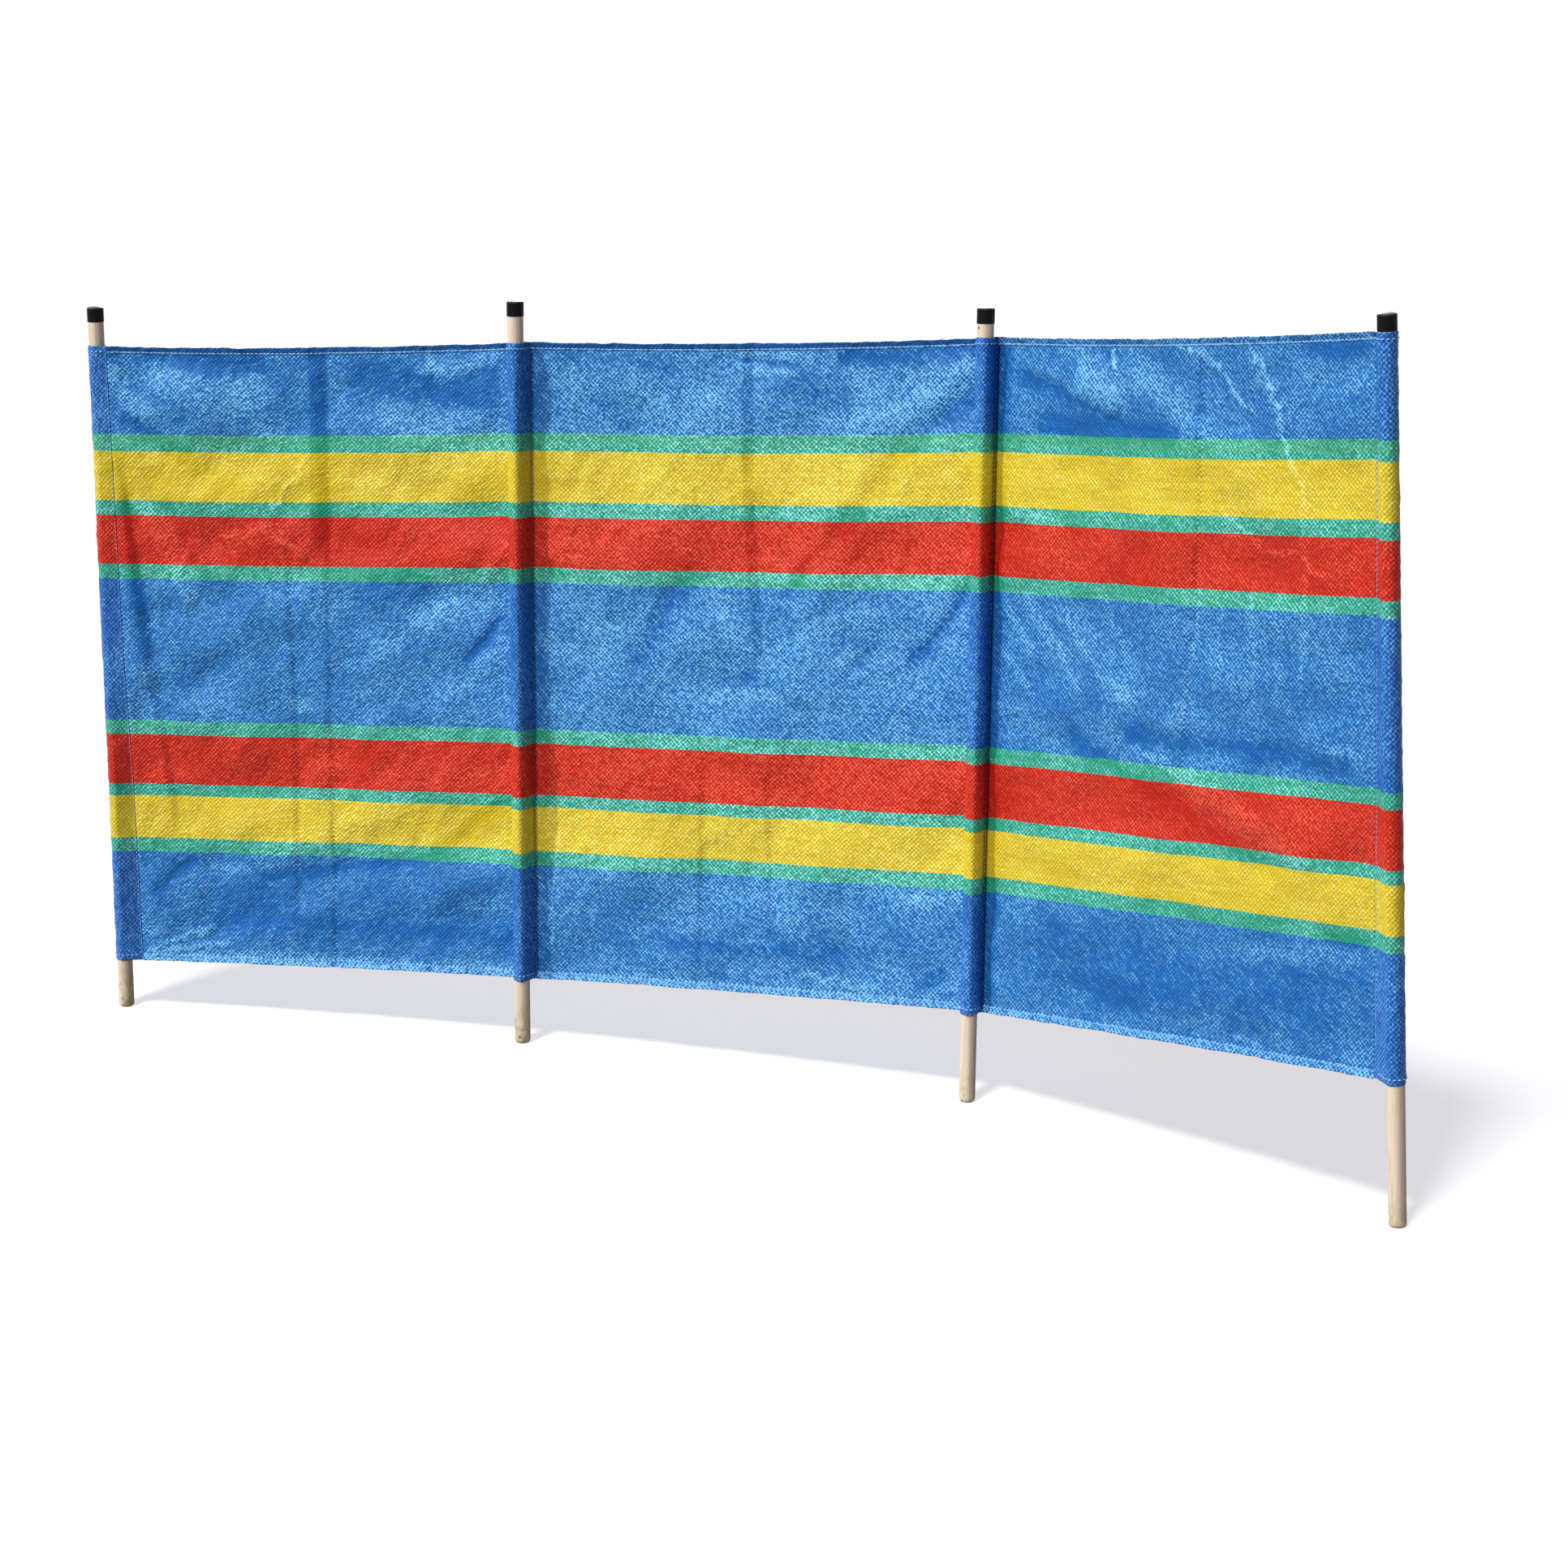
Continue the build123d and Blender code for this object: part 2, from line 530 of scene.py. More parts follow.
@dataclass(frozen=True)
class Fold:
    """One fold or crease. Its path runs through places on the cloth, in millimetres."""

    path: tuple[tuple[float, float], ...]
    rise: float
    reach: float
    profile: Profile = Profile.RIDGE
    fade: float = 30.0
    wear_and_sheen: float = 0.0
    waver: float = 2.0
    wear_reach: float = 2.0
    edge: float = 2.0

    def distances(
        self, along: np.ndarray, height: np.ndarray
    ) -> tuple[np.ndarray, np.ndarray]:
        """Measures places against the path.

        Args:
            along: Distances along the bay.
            height: Heights.

        Returns:
            The signed distance from the path, positive on its left, and how far
            along the path the nearest point lies from the nearer end.
        """
        best = np.full(along.shape, np.inf)
        signed, run = np.zeros(along.shape), np.zeros(along.shape)
        start = 0.0
        for (x0, y0), (x1, y1) in zip(self.path, self.path[1:]):
            dx, dy = x1 - x0, y1 - y0
            length = math.hypot(dx, dy)
            share = ((along - x0) * dx + (height - y0) * dy) / length**2
            held = np.clip(share, 0.0, 1.0)
            away = np.hypot(along - x0 - held * dx, height - y0 - held * dy)
            side = np.sign((height - y0) * dx - (along - x0) * dy)
            nearer = away < best
            best = np.where(nearer, away, best)
            signed = np.where(nearer, away * side, signed)
            run = np.where(nearer, start + held * length, run)
            start += length
        return signed, np.minimum(run, start - run)

    def at(self, along: np.ndarray, height: np.ndarray) -> tuple[np.ndarray, np.ndarray]:
        """Works out the fold's relief and wear.

        Args:
            along: Distances along the bay, in millimetres.
            height: Heights, in millimetres.

        Returns:
            How far the cloth stands forward, in millimetres, and how scuffed it is, with painted
            sheen and shade.
        """
        signed, inside = self.distances(along, height)
        away = np.abs(signed) / self.reach
        if self.profile is Profile.RIDGE:
            shape = np.exp(-away**2)
        elif self.profile is Profile.CREASE:
            shape = np.exp(-away)
        else:
            falling = np.clip(1 + signed / self.reach, 0, 1)
            shape = -np.where(signed < 0, falling, np.exp(-away / 5))
        hold = ease(inside / self.fade)
        worn_and_sheen = np.exp(-np.abs(signed / self.wear_reach) ** self.edge) * self.wear_and_sheen * hold
        return self.rise * shape * hold, worn_and_sheen


@dataclass
class BaySurface:
    """The hung surface of one bay, from seam to seam. Lengths are millimetres."""

    number: int
    first: Stand
    last: Stand
    belly: float
    folds: tuple[Fold, ...]
    seed: int
    sag: float = 5.5
    swell: float = 2.2
    web: float = 1.0
    held: float = 22.0
    edge_held: float = 45.0
    flutter: float = 0.4

    @property
    def width(self) -> float:
        """Distance from seam to seam half way up, in metres."""
        middle = self.first.cloth_height / 2
        return float(np.linalg.norm(self.last.seam(middle) - self.first.seam(middle)))

    @property
    def front(self) -> np.ndarray:
        """Unit vector from the middle of the bay towards its front."""
        return -unit(self.first.back + self.last.back)

    def relief(self, along: np.ndarray, height: np.ndarray) -> tuple[np.ndarray, np.ndarray]:
        """Adds up the swells, wandering creases and folds of the cloth.

        Args:
            along: Distances from the first seam, in millimetres.
            height: Heights up the cloth, in millimetres.

        Returns:
            The relief towards the front, in millimetres, and the scuffing, with painted sheen and
            shade.
        """
        width = self.width / MM

        def ripples(step: int, *sizes: float, **settings: float) -> np.ndarray:
            """Relief of one of the bay's own sets of waves."""
            return Ripples(self.seed + step, *sizes, **settings).at(along, height)

        broad, mid = ripples(0, 90, 330, upright=0.8), ripples(1, 26, 75, waves=40)
        relief = self.swell * (broad + 0.20 * mid)
        wear_and_sheen = np.zeros(relief.shape)
        for step, (shortest, longest, reach) in enumerate(((60, 170, 0.07), (30, 80, 0.14))):
            line, where = ripples(10 + step, shortest, longest), ripples(20 + step, 60, 200)
            relief += self.web * np.exp(-np.abs(line) / reach) * ease(where)
        hold = ease(np.minimum(along, width - along) / self.held)
        full = self.first.cloth_height / MM
        edge = np.minimum(height, full - height)
        relief *= 0.35 + 0.65 * ease(edge / self.edge_held)
        sway, heave = ripples(30, 14, 55), ripples(31, 14, 55)
        broken = 0.55 + 0.45 * ease(ripples(32, 9, 30) + 0.5)
        for fold in self.folds:
            rise, worn_and_sheen = fold.at(along + fold.waver * sway, height + fold.waver * heave)
            relief += rise
            wear_and_sheen += worn_and_sheen * (broken if fold.wear_reach < BROKEN_REACH else 1.0)
        lap = Ripples(self.seed + 33, 9, 26).at(along, 0.2 * height)
        relief += self.flutter * np.exp(-edge / 14) * lap
        return relief * hold, wear_and_sheen

    def points(self, share: np.ndarray, height: np.ndarray) -> tuple[np.ndarray, np.ndarray]:
        """Points of the surface.

        Args:
            share: Shares of the way from the first seam to the last.
            height: Heights up the cloth, in metres.

        Returns:
            The points, and how scuffed the cloth is there, with painted sheen and shade.
        """
        share, height = np.broadcast_arrays(share, height)
        bow = 4 * share * (1 - share)
        drop = self.sag * MM * bow * height / self.first.cloth_height
        relief, wear_and_sheen = self.relief(share * self.width / MM, height / MM)
        forward = (relief - self.belly * bow) * MM
        points = (
            self.first.seam(height) * (1 - share[..., None])
            + self.last.seam(height) * share[..., None]
            + self.front * forward[..., None]
            - np.array([0.0, 0.0, 1.0]) * drop[..., None]
        )
        return points, wear_and_sheen

    def frame_at(
        self, share: np.ndarray, height: float
    ) -> tuple[np.ndarray, np.ndarray, np.ndarray]:
        """Points along a level line of the cloth, with their axes.

        Args:
            share: Shares of the way from the first seam to the last.
            height: Height of the line, in metres.

        Returns:
            Points, unit vectors to the front, and unit vectors up the cloth.
        """
        step = 1.5 * MM
        here, above, below = (
            self.points(share, np.full(share.shape, level))[0]
            for level in (height, height + step, height - step)
        )
        upward = unit(above - below)
        along = unit(np.gradient(here, axis=0))
        front = unit(np.cross(along, upward))
        return here, front, upward


# ---------------------------------------------------------------- finishes


@dataclass(frozen=True)
class Grain:
    """A noise on the cloth: cells for each millimetre along and up, and its make.

    It turns with the cloth's own turn, by the share that is given last.
    """

    along: float
    up: float
    detail: float = 2.0
    roughness: float = 0.5
    warp: float = 0.0
    turned: float = 1.0


class Graph:
    """Adds and joins the nodes of one material, or of the sky."""

    def __init__(self, name: str, sky: bool = False) -> None:
        """Starts a material or a sky with nothing in it but its output."""
        self.owner = (bpy.data.worlds if sky else bpy.data.materials).new(name)
        self.owner.use_nodes = True
        self.tree = self.owner.node_tree
        self.tree.nodes.clear()
        self.output = self.node("OutputWorld" if sky else "OutputMaterial")

    def node(self, kind: str, inputs: dict | None = None, **settings) -> bpy.types.Node:
        """Adds a node.

        Args:
            kind: Its type, without the word ShaderNode.
            inputs: Values or sockets for its inputs, by name or number.
            **settings: Values for its properties.

        Returns:
            The node.
        """
        made = self.tree.nodes.new("ShaderNode" + kind)
        for name, value in settings.items():
            setattr(made, name, value)
        for name, value in (inputs or {}).items():
            self.feed(made.inputs[name], value)
        return made

    def feed(self, socket: bpy.types.NodeSocket, value: object) -> None:
        """Joins a socket to another, or sets its value."""
        if isinstance(value, bpy.types.NodeSocket):
            self.tree.links.new(value, socket)
        else:
            socket.default_value = value

    def math(self, operation: str, first: object, second: object = 0.0) -> bpy.types.NodeSocket:
        """Result of a sum on one or two values."""
        return self.node("Math", {0: first, 1: second}, operation=operation).outputs[0]

    def product(self, first: object, second: object) -> bpy.types.NodeSocket:
        """Result of multiplying two values."""
        return self.math("MULTIPLY", first, second)

    def total(self, *values: object) -> bpy.types.NodeSocket:
        """Result of adding values up, from the first to the last."""
        return reduce(lambda first, second: self.math("ADD", first, second), values)

    def spread(
        self, value: object, low: float, high: float, to_low: float, to_high: float
    ) -> bpy.types.NodeSocket:
        """Result of moving a value from one range to another, held at its ends."""
        names = ("Value", "From Min", "From Max", "To Min", "To Max")
        made = self.node("MapRange", dict(zip(names, (value, low, high, to_low, to_high))))
        return made.outputs["Result"]

    def mix(
        self, share: object, first: object, second: object, blend: str = "MIX"
    ) -> bpy.types.NodeSocket:
        """Result of blending two colours."""
        made = self.node("Mix", data_type="RGBA", blend_type=blend)
        self.feed(made.inputs[0], share)
        self.feed(made.inputs[6], first)
        self.feed(made.inputs[7], second)
        return made.outputs[2]

    def noise(
        self,
        vector: object,
        scale: float,
        detail: float = 3.0,
        roughness: float = 0.5,
        warp: float = 0.0,
    ) -> bpy.types.NodeSocket:
        """Value of a noise, about a half."""
        inputs = dict(zip(("Vector", "Scale", "Detail"), (vector, scale, detail)))
        inputs |= {"Roughness": roughness, "Distortion": warp}
        return self.node("TexNoise", inputs).outputs["Fac"]

    def grain(self, place: object, grain: Grain, turn: float) -> bpy.types.NodeSocket:
        """Value of a grain, on cloth whose creasing runs at an angle."""
        placed = self.stretch(place, (grain.along, grain.up, 1.0), turn * grain.turned)
        return self.noise(placed, 1.0, grain.detail, grain.roughness, grain.warp)

    def stretch(
        self, vector: object, scale: tuple[float, float, float], turn: float = 0.0
    ) -> bpy.types.NodeSocket:
        """Places turned about the third axis, then scaled along each axis."""
        turned = self.node(
            "VectorRotate", {"Vector": vector, "Angle": turn}, rotation_type="Z_AXIS"
        )
        scaled = self.node(
            "VectorMath", {0: turned.outputs[0], 1: scale}, operation="MULTIPLY"
        )
        return scaled.outputs[0]

    def ramp(
        self, value: object, stops: list[tuple[float, tuple]], held: bool = False
    ) -> bpy.types.NodeSocket:
        """Colour of a ramp.

        Args:
            value: Place on the ramp.
            stops: Places, from 0 to 1, with their colours.
            held: Whether each colour holds until the next, with no blend.

        Returns:
            The colour.
        """
        made = self.node("ValToRGB", {0: value})
        made.color_ramp.interpolation = "CONSTANT" if held else "LINEAR"
        elements = made.color_ramp.elements
        for place, _ in stops[2:]:
            elements.new(min(1.0, place))
        for element, (place, colour) in zip(elements, stops):
            element.position = place
            element.color = colour
        return made.outputs["Color"]

    def bump(
        self, height: object, depth: float, below: object | None = None
    ) -> bpy.types.NodeSocket:
        """Normal of a bump of a depth in millimetres, over another bump."""
        inputs = {"Height": height, "Distance": depth * MM}
        if below is not None:
            inputs["Normal"] = below
        return self.node("Bump", inputs).outputs["Normal"]

    def finish(self, **inputs) -> bpy.types.Material:
        """Closes the material with a principled surface.

        Args:
            **inputs: Its inputs, with underlines for spaces.

        Returns:
            The material.
        """
        names = {name.replace("_", " "): value for name, value in inputs.items()}
        return self.close(self.node("BsdfPrincipled", names))

    def close(self, surface: bpy.types.Node) -> bpy.types.ID:
        """Joins a surface to the output, and hands over what the nodes belong to."""
        self.tree.links.new(surface.outputs[0], self.output.inputs["Surface"])
        return self.owner

    def choose(self, others: bpy.types.Node, seen: bpy.types.Node) -> bpy.types.ID:
        """Closes with one surface for rays that are seen, and another for all others.

        Args:
            others: The surface that lights the object.
            seen: The surface seen directly, in a mirror or through glass.

        Returns:
            The material or the sky.
        """
        path = self.node("LightPath").outputs
        either = self.math("MAXIMUM", path["Is Camera Ray"], path["Is Glossy Ray"])
        share = self.math("MAXIMUM", either, path["Is Transmission Ray"])
        inputs = {0: share, 1: others.outputs[0], 2: seen.outputs[0]}
        return self.close(self.node("MixShader", inputs))


class Dye(Enum):
    """Colours of the tapes: as they are in smooth cloth, and a lighter second colour that holds
    pale creased coating and painted sheen.
    """

    BLUE = (linear(0.015, 0.370, 0.672), linear(0.475, 0.775, 0.965))
    GREEN = (linear(0.095, 0.585, 0.440), linear(0.560, 0.915, 0.900))
    YELLOW = (linear(0.830, 0.730, 0.110), linear(0.980, 0.910, 0.430))
    RED = (linear(0.740, 0.110, 0.040), linear(0.950, 0.360, 0.260))
    OLIVE = (linear(0.210, 0.610, 0.420), linear(0.520, 0.840, 0.740))
    # A more violet, deeper blue for the pockets: painted shade that stands in for the shaded pocket
    # flank.
    SHADE_TINTED_BLUE = (linear(0.070, 0.330, 0.665), linear(0.430, 0.725, 0.960))
    PALE = (linear(0.260, 0.660, 0.510), linear(0.540, 0.860, 0.790))


@dataclass(frozen=True)
class WovenCloth:
    """Coated cloth, woven from flat plastic tapes in stripes that run along it.

    Stripes go from the lower edge up. Lengths are millimetres, turns are degrees. Its colour holds
    painted sheen, painted glints and painted shade.
    """

    name: str
    crinkle: float = 1.0
    turn: float = 30.0
    seed: float = 0.0
    tape: float = 3.15
    # depth scales the whole colour: painted shade below 1, painted light above 1.
    depth: float = 1.0
    # The fields from sheen to lattice paint sheen, glints and the light and shade of the weave into
    # the colour.
    sheen: float = 0.42
    patches: float = 0.10
    glint_base: float = 0.14
    glints: float = 1.02
    speck_glints: float = 1.45
    dots: float = 1.30
    lattice: float = 0.20
    cracks: float = 1.05
    crack_width: float = 0.024
    streaks: float = 0.10
    weave_depth: float = 0.36
    crack_depth: float = 0.30
    tick_depth: float = 1.35
    swell_depth: float = 0.85
    tooth: float = 0.15
    roughness: float = 0.42
    specular: float = 0.20
    # Colour of the crease lines: partly real stress-whitening, partly painted glint.
    whitened_and_glint: tuple = linear(0.680, 0.880, 0.990)
    seed_shift: float = 731.0
    patch_grain: Grain = Grain(0.010, 0.018)
    swell_grain: Grain = Grain(0.018, 0.036)
    tick_grain: Grain = Grain(0.100, 0.255, detail=1.0, warp=0.20)
    crossing_grain: Grain = Grain(0.125, 0.290, detail=1.0, warp=0.20, turned=-1.4)
    speck_grain: Grain = Grain(0.26, 0.40, detail=0.0)
    torn_grain: Grain = Grain(0.065, 0.150, detail=3.0, roughness=0.65)
    crack_grain: Grain = Grain(0.030, 0.070, warp=0.9, turned=0.6)
    cracked_grain: Grain = Grain(0.024, 0.034, turned=-1.0)
    streak_grain: Grain = Grain(0.0035, 0.42, roughness=0.6, turned=0.0)
    stripes: tuple[tuple[Dye, float], ...] = (
        (Dye.BLUE, 162.9), (Dye.GREEN, 23.0), (Dye.YELLOW, 61.8), (Dye.GREEN, 17.0),
        (Dye.RED, 73.2), (Dye.GREEN, 21.3), (Dye.BLUE, 209.1), (Dye.GREEN, 5.0),
        (Dye.OLIVE, 2.0), (Dye.GREEN, 3.0), (Dye.PALE, 1.2), (Dye.GREEN, 9.8),
        (Dye.RED, 68.1), (Dye.GREEN, 23.8), (Dye.YELLOW, 70.9), (Dye.GREEN, 5.0),
        (Dye.PALE, 1.2), (Dye.GREEN, 3.4), (Dye.OLIVE, 1.4), (Dye.GREEN, 5.7),
        (Dye.OLIVE, 1.6), (Dye.GREEN, 4.4), (Dye.BLUE, 125.1),
    )

    def stops(self, frosted_with_sheen: bool) -> list[tuple[float, tuple]]:
        """Ramp stops of the stripes, of smooth cloth or of the lighter colour with painted sheen.
        """
        widths = np.array([width for _, width in self.stripes])
        places = (np.cumsum(widths) - widths) / widths.sum()
        return [(place, dye.value[frosted_with_sheen]) for place, (dye, _) in zip(places, self.stripes)]

    def ticks(self, graph: Graph, place: object, turn: float) -> bpy.types.NodeSocket:
        """Value of the small crinkles, which run two ways and cover each other."""
        ticks = graph.grain(place, self.tick_grain, turn)
        crossing = graph.grain(place, self.crossing_grain, turn)
        return graph.math("MAXIMUM", ticks, graph.math("SUBTRACT", crossing, 0.07))

    def creases(self, graph: Graph, place: object, turn: float) -> bpy.types.NodeSocket:
        """Value of the thin wandering cracks of the coating, in patches."""
        lines = graph.math("SUBTRACT", graph.grain(place, self.crack_grain, turn), 0.5)
        lines = graph.spread(graph.math("ABSOLUTE", lines), 0.0, self.crack_width, 1.0, 0.0)
        patch = graph.spread(graph.grain(place, self.cracked_grain, turn), 0.46, 0.60, 0.0, 1.0)
        return graph.product(lines, patch)

    def frost_and_sheen_level(
        self, graph: Graph, place: object, turn: float, worn_and_sheen: bpy.types.NodeSocket
    ) -> bpy.types.NodeSocket:
        """Share of pale coating and painted sheen that the drawing and folding of the cloth has
        left.

        Args:
            graph: The material's nodes.
            place: Places on the cloth.
            turn: The cloth's turn, in radians.
            worn_and_sheen: How scuffed the cloth is there, with its painted sheen and painted
                shade.

        Returns:
            The share, from almost 0 to a little over 1.
        """
        patches = graph.grain(place, self.patch_grain, turn)
        patches = graph.spread(patches, 0.36, 0.64, -self.patches, self.patches)
        torn = graph.spread(graph.grain(place, self.torn_grain, turn), 0.38, 0.62, 0.30, 1.70)
        frost_and_sheen_level = graph.total(patches, self.sheen, graph.product(worn_and_sheen, torn))
        return graph.spread(frost_and_sheen_level, 0.04, 1.25, 0.04, 1.25)

    def material(self) -> bpy.types.Material:
        """Makes the material."""
        graph = Graph(self.name)
        place = graph.node("UVMap", uv_map=CLOTH_MAP).outputs[0]
        place = graph.stretch(place, (1 / MM, 1 / MM, 1.0))
        along, height, _ = graph.node("SeparateXYZ", {0: place}).outputs
        wave_x, wave_h = (
            graph.math("SINE", graph.product(way, math.pi / self.tape)) for way in (along, height)
        )
        shift = (self.seed * self.seed_shift, 0.0, self.seed)
        seeded = graph.node("VectorMath", {0: place, 1: shift}, operation="ADD").outputs[0]
        turn = math.radians(self.turn)
        swells = graph.grain(seeded, self.swell_grain, turn)
        ticks = self.ticks(graph, seeded, turn)
        cracks = self.creases(graph, seeded, turn)
        specks = graph.grain(seeded, self.speck_grain, turn)
        checks = graph.product(wave_x, wave_h)
        weave = graph.product(checks, graph.spread(ticks, 0.42, 0.60, 0.40, 1.1))

        ragged = graph.total(height, graph.product(wave_x, self.tooth))
        level = graph.math("DIVIDE", ragged, sum(width for _, width in self.stripes))
        smooth, frosted_with_sheen = (
            graph.ramp(level, self.stops(frosted_with_sheen), held=True) for frosted_with_sheen in (False, True)
        )
        worn_and_sheen = graph.node("Attribute", attribute_name="wear_and_sheen").outputs["Fac"]
        # Painted glints of the crinkles, specks, cracks and tape crossings.
        glint = graph.total(
            graph.spread(ticks, 0.46, 0.60, self.glint_base, self.glint_base + self.glints),
            graph.spread(specks, 0.58, 0.70, 0.0, self.speck_glints),
            graph.product(cracks, self.cracks),
            graph.product(weave, self.dots),
        )
        # Painted sheen: the lighter colour is mixed in by this share.
        frost_and_sheen = graph.product(self.frost_and_sheen_level(graph, seeded, turn, worn_and_sheen), glint)
        whitened_and_glint = graph.mix(0.6, frosted_with_sheen, self.whitened_and_glint)
        colour = graph.mix(frost_and_sheen, smooth, frosted_with_sheen)
        # Crease lines turn paler still: partly real stress-whitening, partly painted glint.
        colour = graph.mix(graph.spread(worn_and_sheen, 1.05, 1.60, 0.0, 0.80), colour, whitened_and_glint)
        streak = graph.grain(seeded, self.streak_grain, turn)
        streak = graph.spread(streak, 0.30, 0.70, 1.0 - self.streaks, 1.0 + self.streaks)
        # woven paints the light and shade of the tape crossings; depth paints shade or light over
        # the whole cloth.
        woven = graph.spread(weave, -1.0, 1.0, 1.0 - self.lattice, 1.0 + self.lattice)
        shade = graph.product(graph.product(streak, woven), self.depth)

        normal = graph.bump(swells, self.swell_depth)
        normal = graph.bump(ticks, self.tick_depth * self.crinkle, normal)
        normal = graph.bump(cracks, self.crack_depth * self.crinkle, normal)
        return graph.finish(
            Base_Color=graph.mix(1.0, colour, shade, "MULTIPLY"),
            Roughness=graph.spread(swells, 0.3, 0.7, self.roughness - 0.05, self.roughness + 0.07),
            Specular_IOR_Level=self.specular,
            Normal=graph.bump(weave, self.weave_depth, normal),
        )


@dataclass(frozen=True)
class Knot:
    """A brown knot: its turn about the pole in degrees, its height and its radius."""

    turn: float
    height: float
    radius: float


@dataclass(frozen=True)
class PoleWood:
    """Pale softwood, turned round, with fine grain, specks and grass stain at the foot."""

    name: str
    pale: tuple = linear(0.930, 0.860, 0.760)
    dark: tuple = linear(0.860, 0.765, 0.650)
    stain: tuple = linear(0.560, 0.530, 0.300)
    line: tuple = linear(0.60, 0.47, 0.33)
    knot: tuple = linear(0.42, 0.27, 0.15)
    stain_height: float = 60.0
    stain_share: float = 0.75

    def material(self, knots: list[tuple[np.ndarray, float]]) -> bpy.types.Material:
        """Makes the material.

        Args:
            knots: The middle of each knot, in metres, and its radius in millimetres.

        Returns:
            The material.
        """
        graph = Graph(self.name)
        place = graph.node("TexCoord").outputs["Object"]
        fine = graph.noise(graph.stretch(place, (520.0, 520.0, 9.0)), 1.0, 4.0, 0.65)
        broad = graph.noise(graph.stretch(place, (150.0, 150.0, 5.0)), 1.0, 3.0, 0.5)
        blot = graph.noise(graph.stretch(place, (90.0, 90.0, 60.0)), 1.0, 4.0, 0.7)
        colour = graph.mix(graph.spread(broad, 0.35, 0.70, 0.0, 0.75), self.pale, self.dark)
        colour = graph.mix(graph.spread(fine, 0.52, 0.72, 0.0, 0.38), colour, self.line)
        height = graph.node("SeparateXYZ", {0: place}).outputs[2]
        near = graph.spread(height, 0.0, self.stain_height * MM, self.stain_share, 0.0)
        stained = graph.product(near, graph.spread(blot, 0.42, 0.62, 0.1, 1.0))
        colour = graph.mix(stained, colour, self.stain)
        for middle, radius in knots:
            inputs = {0: place, 1: tuple(middle)}
            away = graph.node("VectorMath", inputs, operation="DISTANCE").outputs["Value"]
            ragged = graph.total(away, graph.spread(blot, 0.2, 0.8, -0.6 * MM, 0.6 * MM))
            spot = graph.spread(ragged, 0.45 * radius * MM, radius * MM, 0.85, 0.0)
            colour = graph.mix(spot, colour, self.knot)
        return graph.finish(
            Base_Color=colour,
            Roughness=graph.spread(fine, 0.3, 0.7, 0.52, 0.66),
            Specular_IOR_Level=0.20,
            Normal=graph.bump(fine, 0.25),
        )


@dataclass(frozen=True)
class CapPlastic:
    """Black moulded plastic with a soft shine, a fine grain, dusty scuffs and a painted highlight
    round its brim.
    """

    name: str
    base: tuple = linear(0.045, 0.045, 0.050)
    dusty: tuple = linear(0.120, 0.120, 0.130)
    painted_brim_highlight: tuple = linear(0.330, 0.350, 0.420)
    brim_run: float = 39.5
    brim_width: float = 2.4

    def material(self) -> bpy.types.Material:
        """Makes the material."""
        graph = Graph(self.name)
        place = graph.node("TexCoord").outputs["Object"]
        grain = graph.noise(place, 1900.0, 2.0)
        scuff = graph.noise(graph.stretch(place, (160.0, 160.0, 420.0)), 1.0, 4.0, 0.7)
        colour = graph.mix(graph.spread(scuff, 0.50, 0.72, 0.0, 0.6), self.base, self.dusty)
        moulded = graph.stretch(graph.node("UVMap", uv_map=CLOTH_MAP).outputs[0], (1, 1 / MM, 1))
        run = graph.node("SeparateXYZ", {0: moulded}).outputs[1]
        # A painted highlight along the brim, broken up by the scuff noise.
        brim = graph.math("ABSOLUTE", graph.math("SUBTRACT", run, self.brim_run))
        brim = graph.spread(brim, 0.0, self.brim_width, 0.85, 0.0)
        painted_brim_highlight = graph.product(brim, graph.spread(scuff, 0.35, 0.6, 0.35, 1.0))
        colour = graph.mix(painted_brim_highlight, colour, self.painted_brim_highlight)
        return graph.finish(
            Base_Color=colour,
            Roughness=graph.spread(scuff, 0.3, 0.7, 0.36, 0.52),
            Specular_IOR_Level=0.07,
            Normal=graph.bump(grain, 0.06),
        )


@dataclass(frozen=True)
class Thread:
    """Twisted sewing thread."""

    name: str
    colour: tuple = linear(0.600, 0.770, 0.990)
    shade: tuple = linear(0.320, 0.520, 0.860)
    twist: float = 5.2

    def material(self) -> bpy.types.Material:
        """Makes the material."""
        graph = Graph(self.name)
        place = graph.node("UVMap", uv_map=CLOTH_MAP).outputs[0]
        place = graph.stretch(place, (1 / MM, 1 / MM, 1.0))
        along, around, _ = graph.node("SeparateXYZ", {0: place}).outputs
        twist = graph.math("SINE", graph.product(graph.total(along, around), self.twist))
        tone = graph.noise(graph.node("TexCoord").outputs["Object"], 300.0, 2.0)
        colour = graph.mix(graph.spread(twist, -1.0, 1.0, 0.0, 0.3), self.colour, self.shade)
        colour = graph.mix(graph.spread(tone, 0.35, 0.65, 0.0, 0.35), colour, self.colour)
        normal = graph.bump(twist, 0.08)
        return graph.finish(
            Base_Color=colour, Roughness=0.55, Specular_IOR_Level=0.4, Normal=normal
        )


# ---------------------------------------------------------------- poles and caps


@dataclass(frozen=True)
class Chip:
    """A place where wood is missing: its turn about the pole, height and size."""

    turn: float
    height: float
    width: float
    tall: float
    depth: float


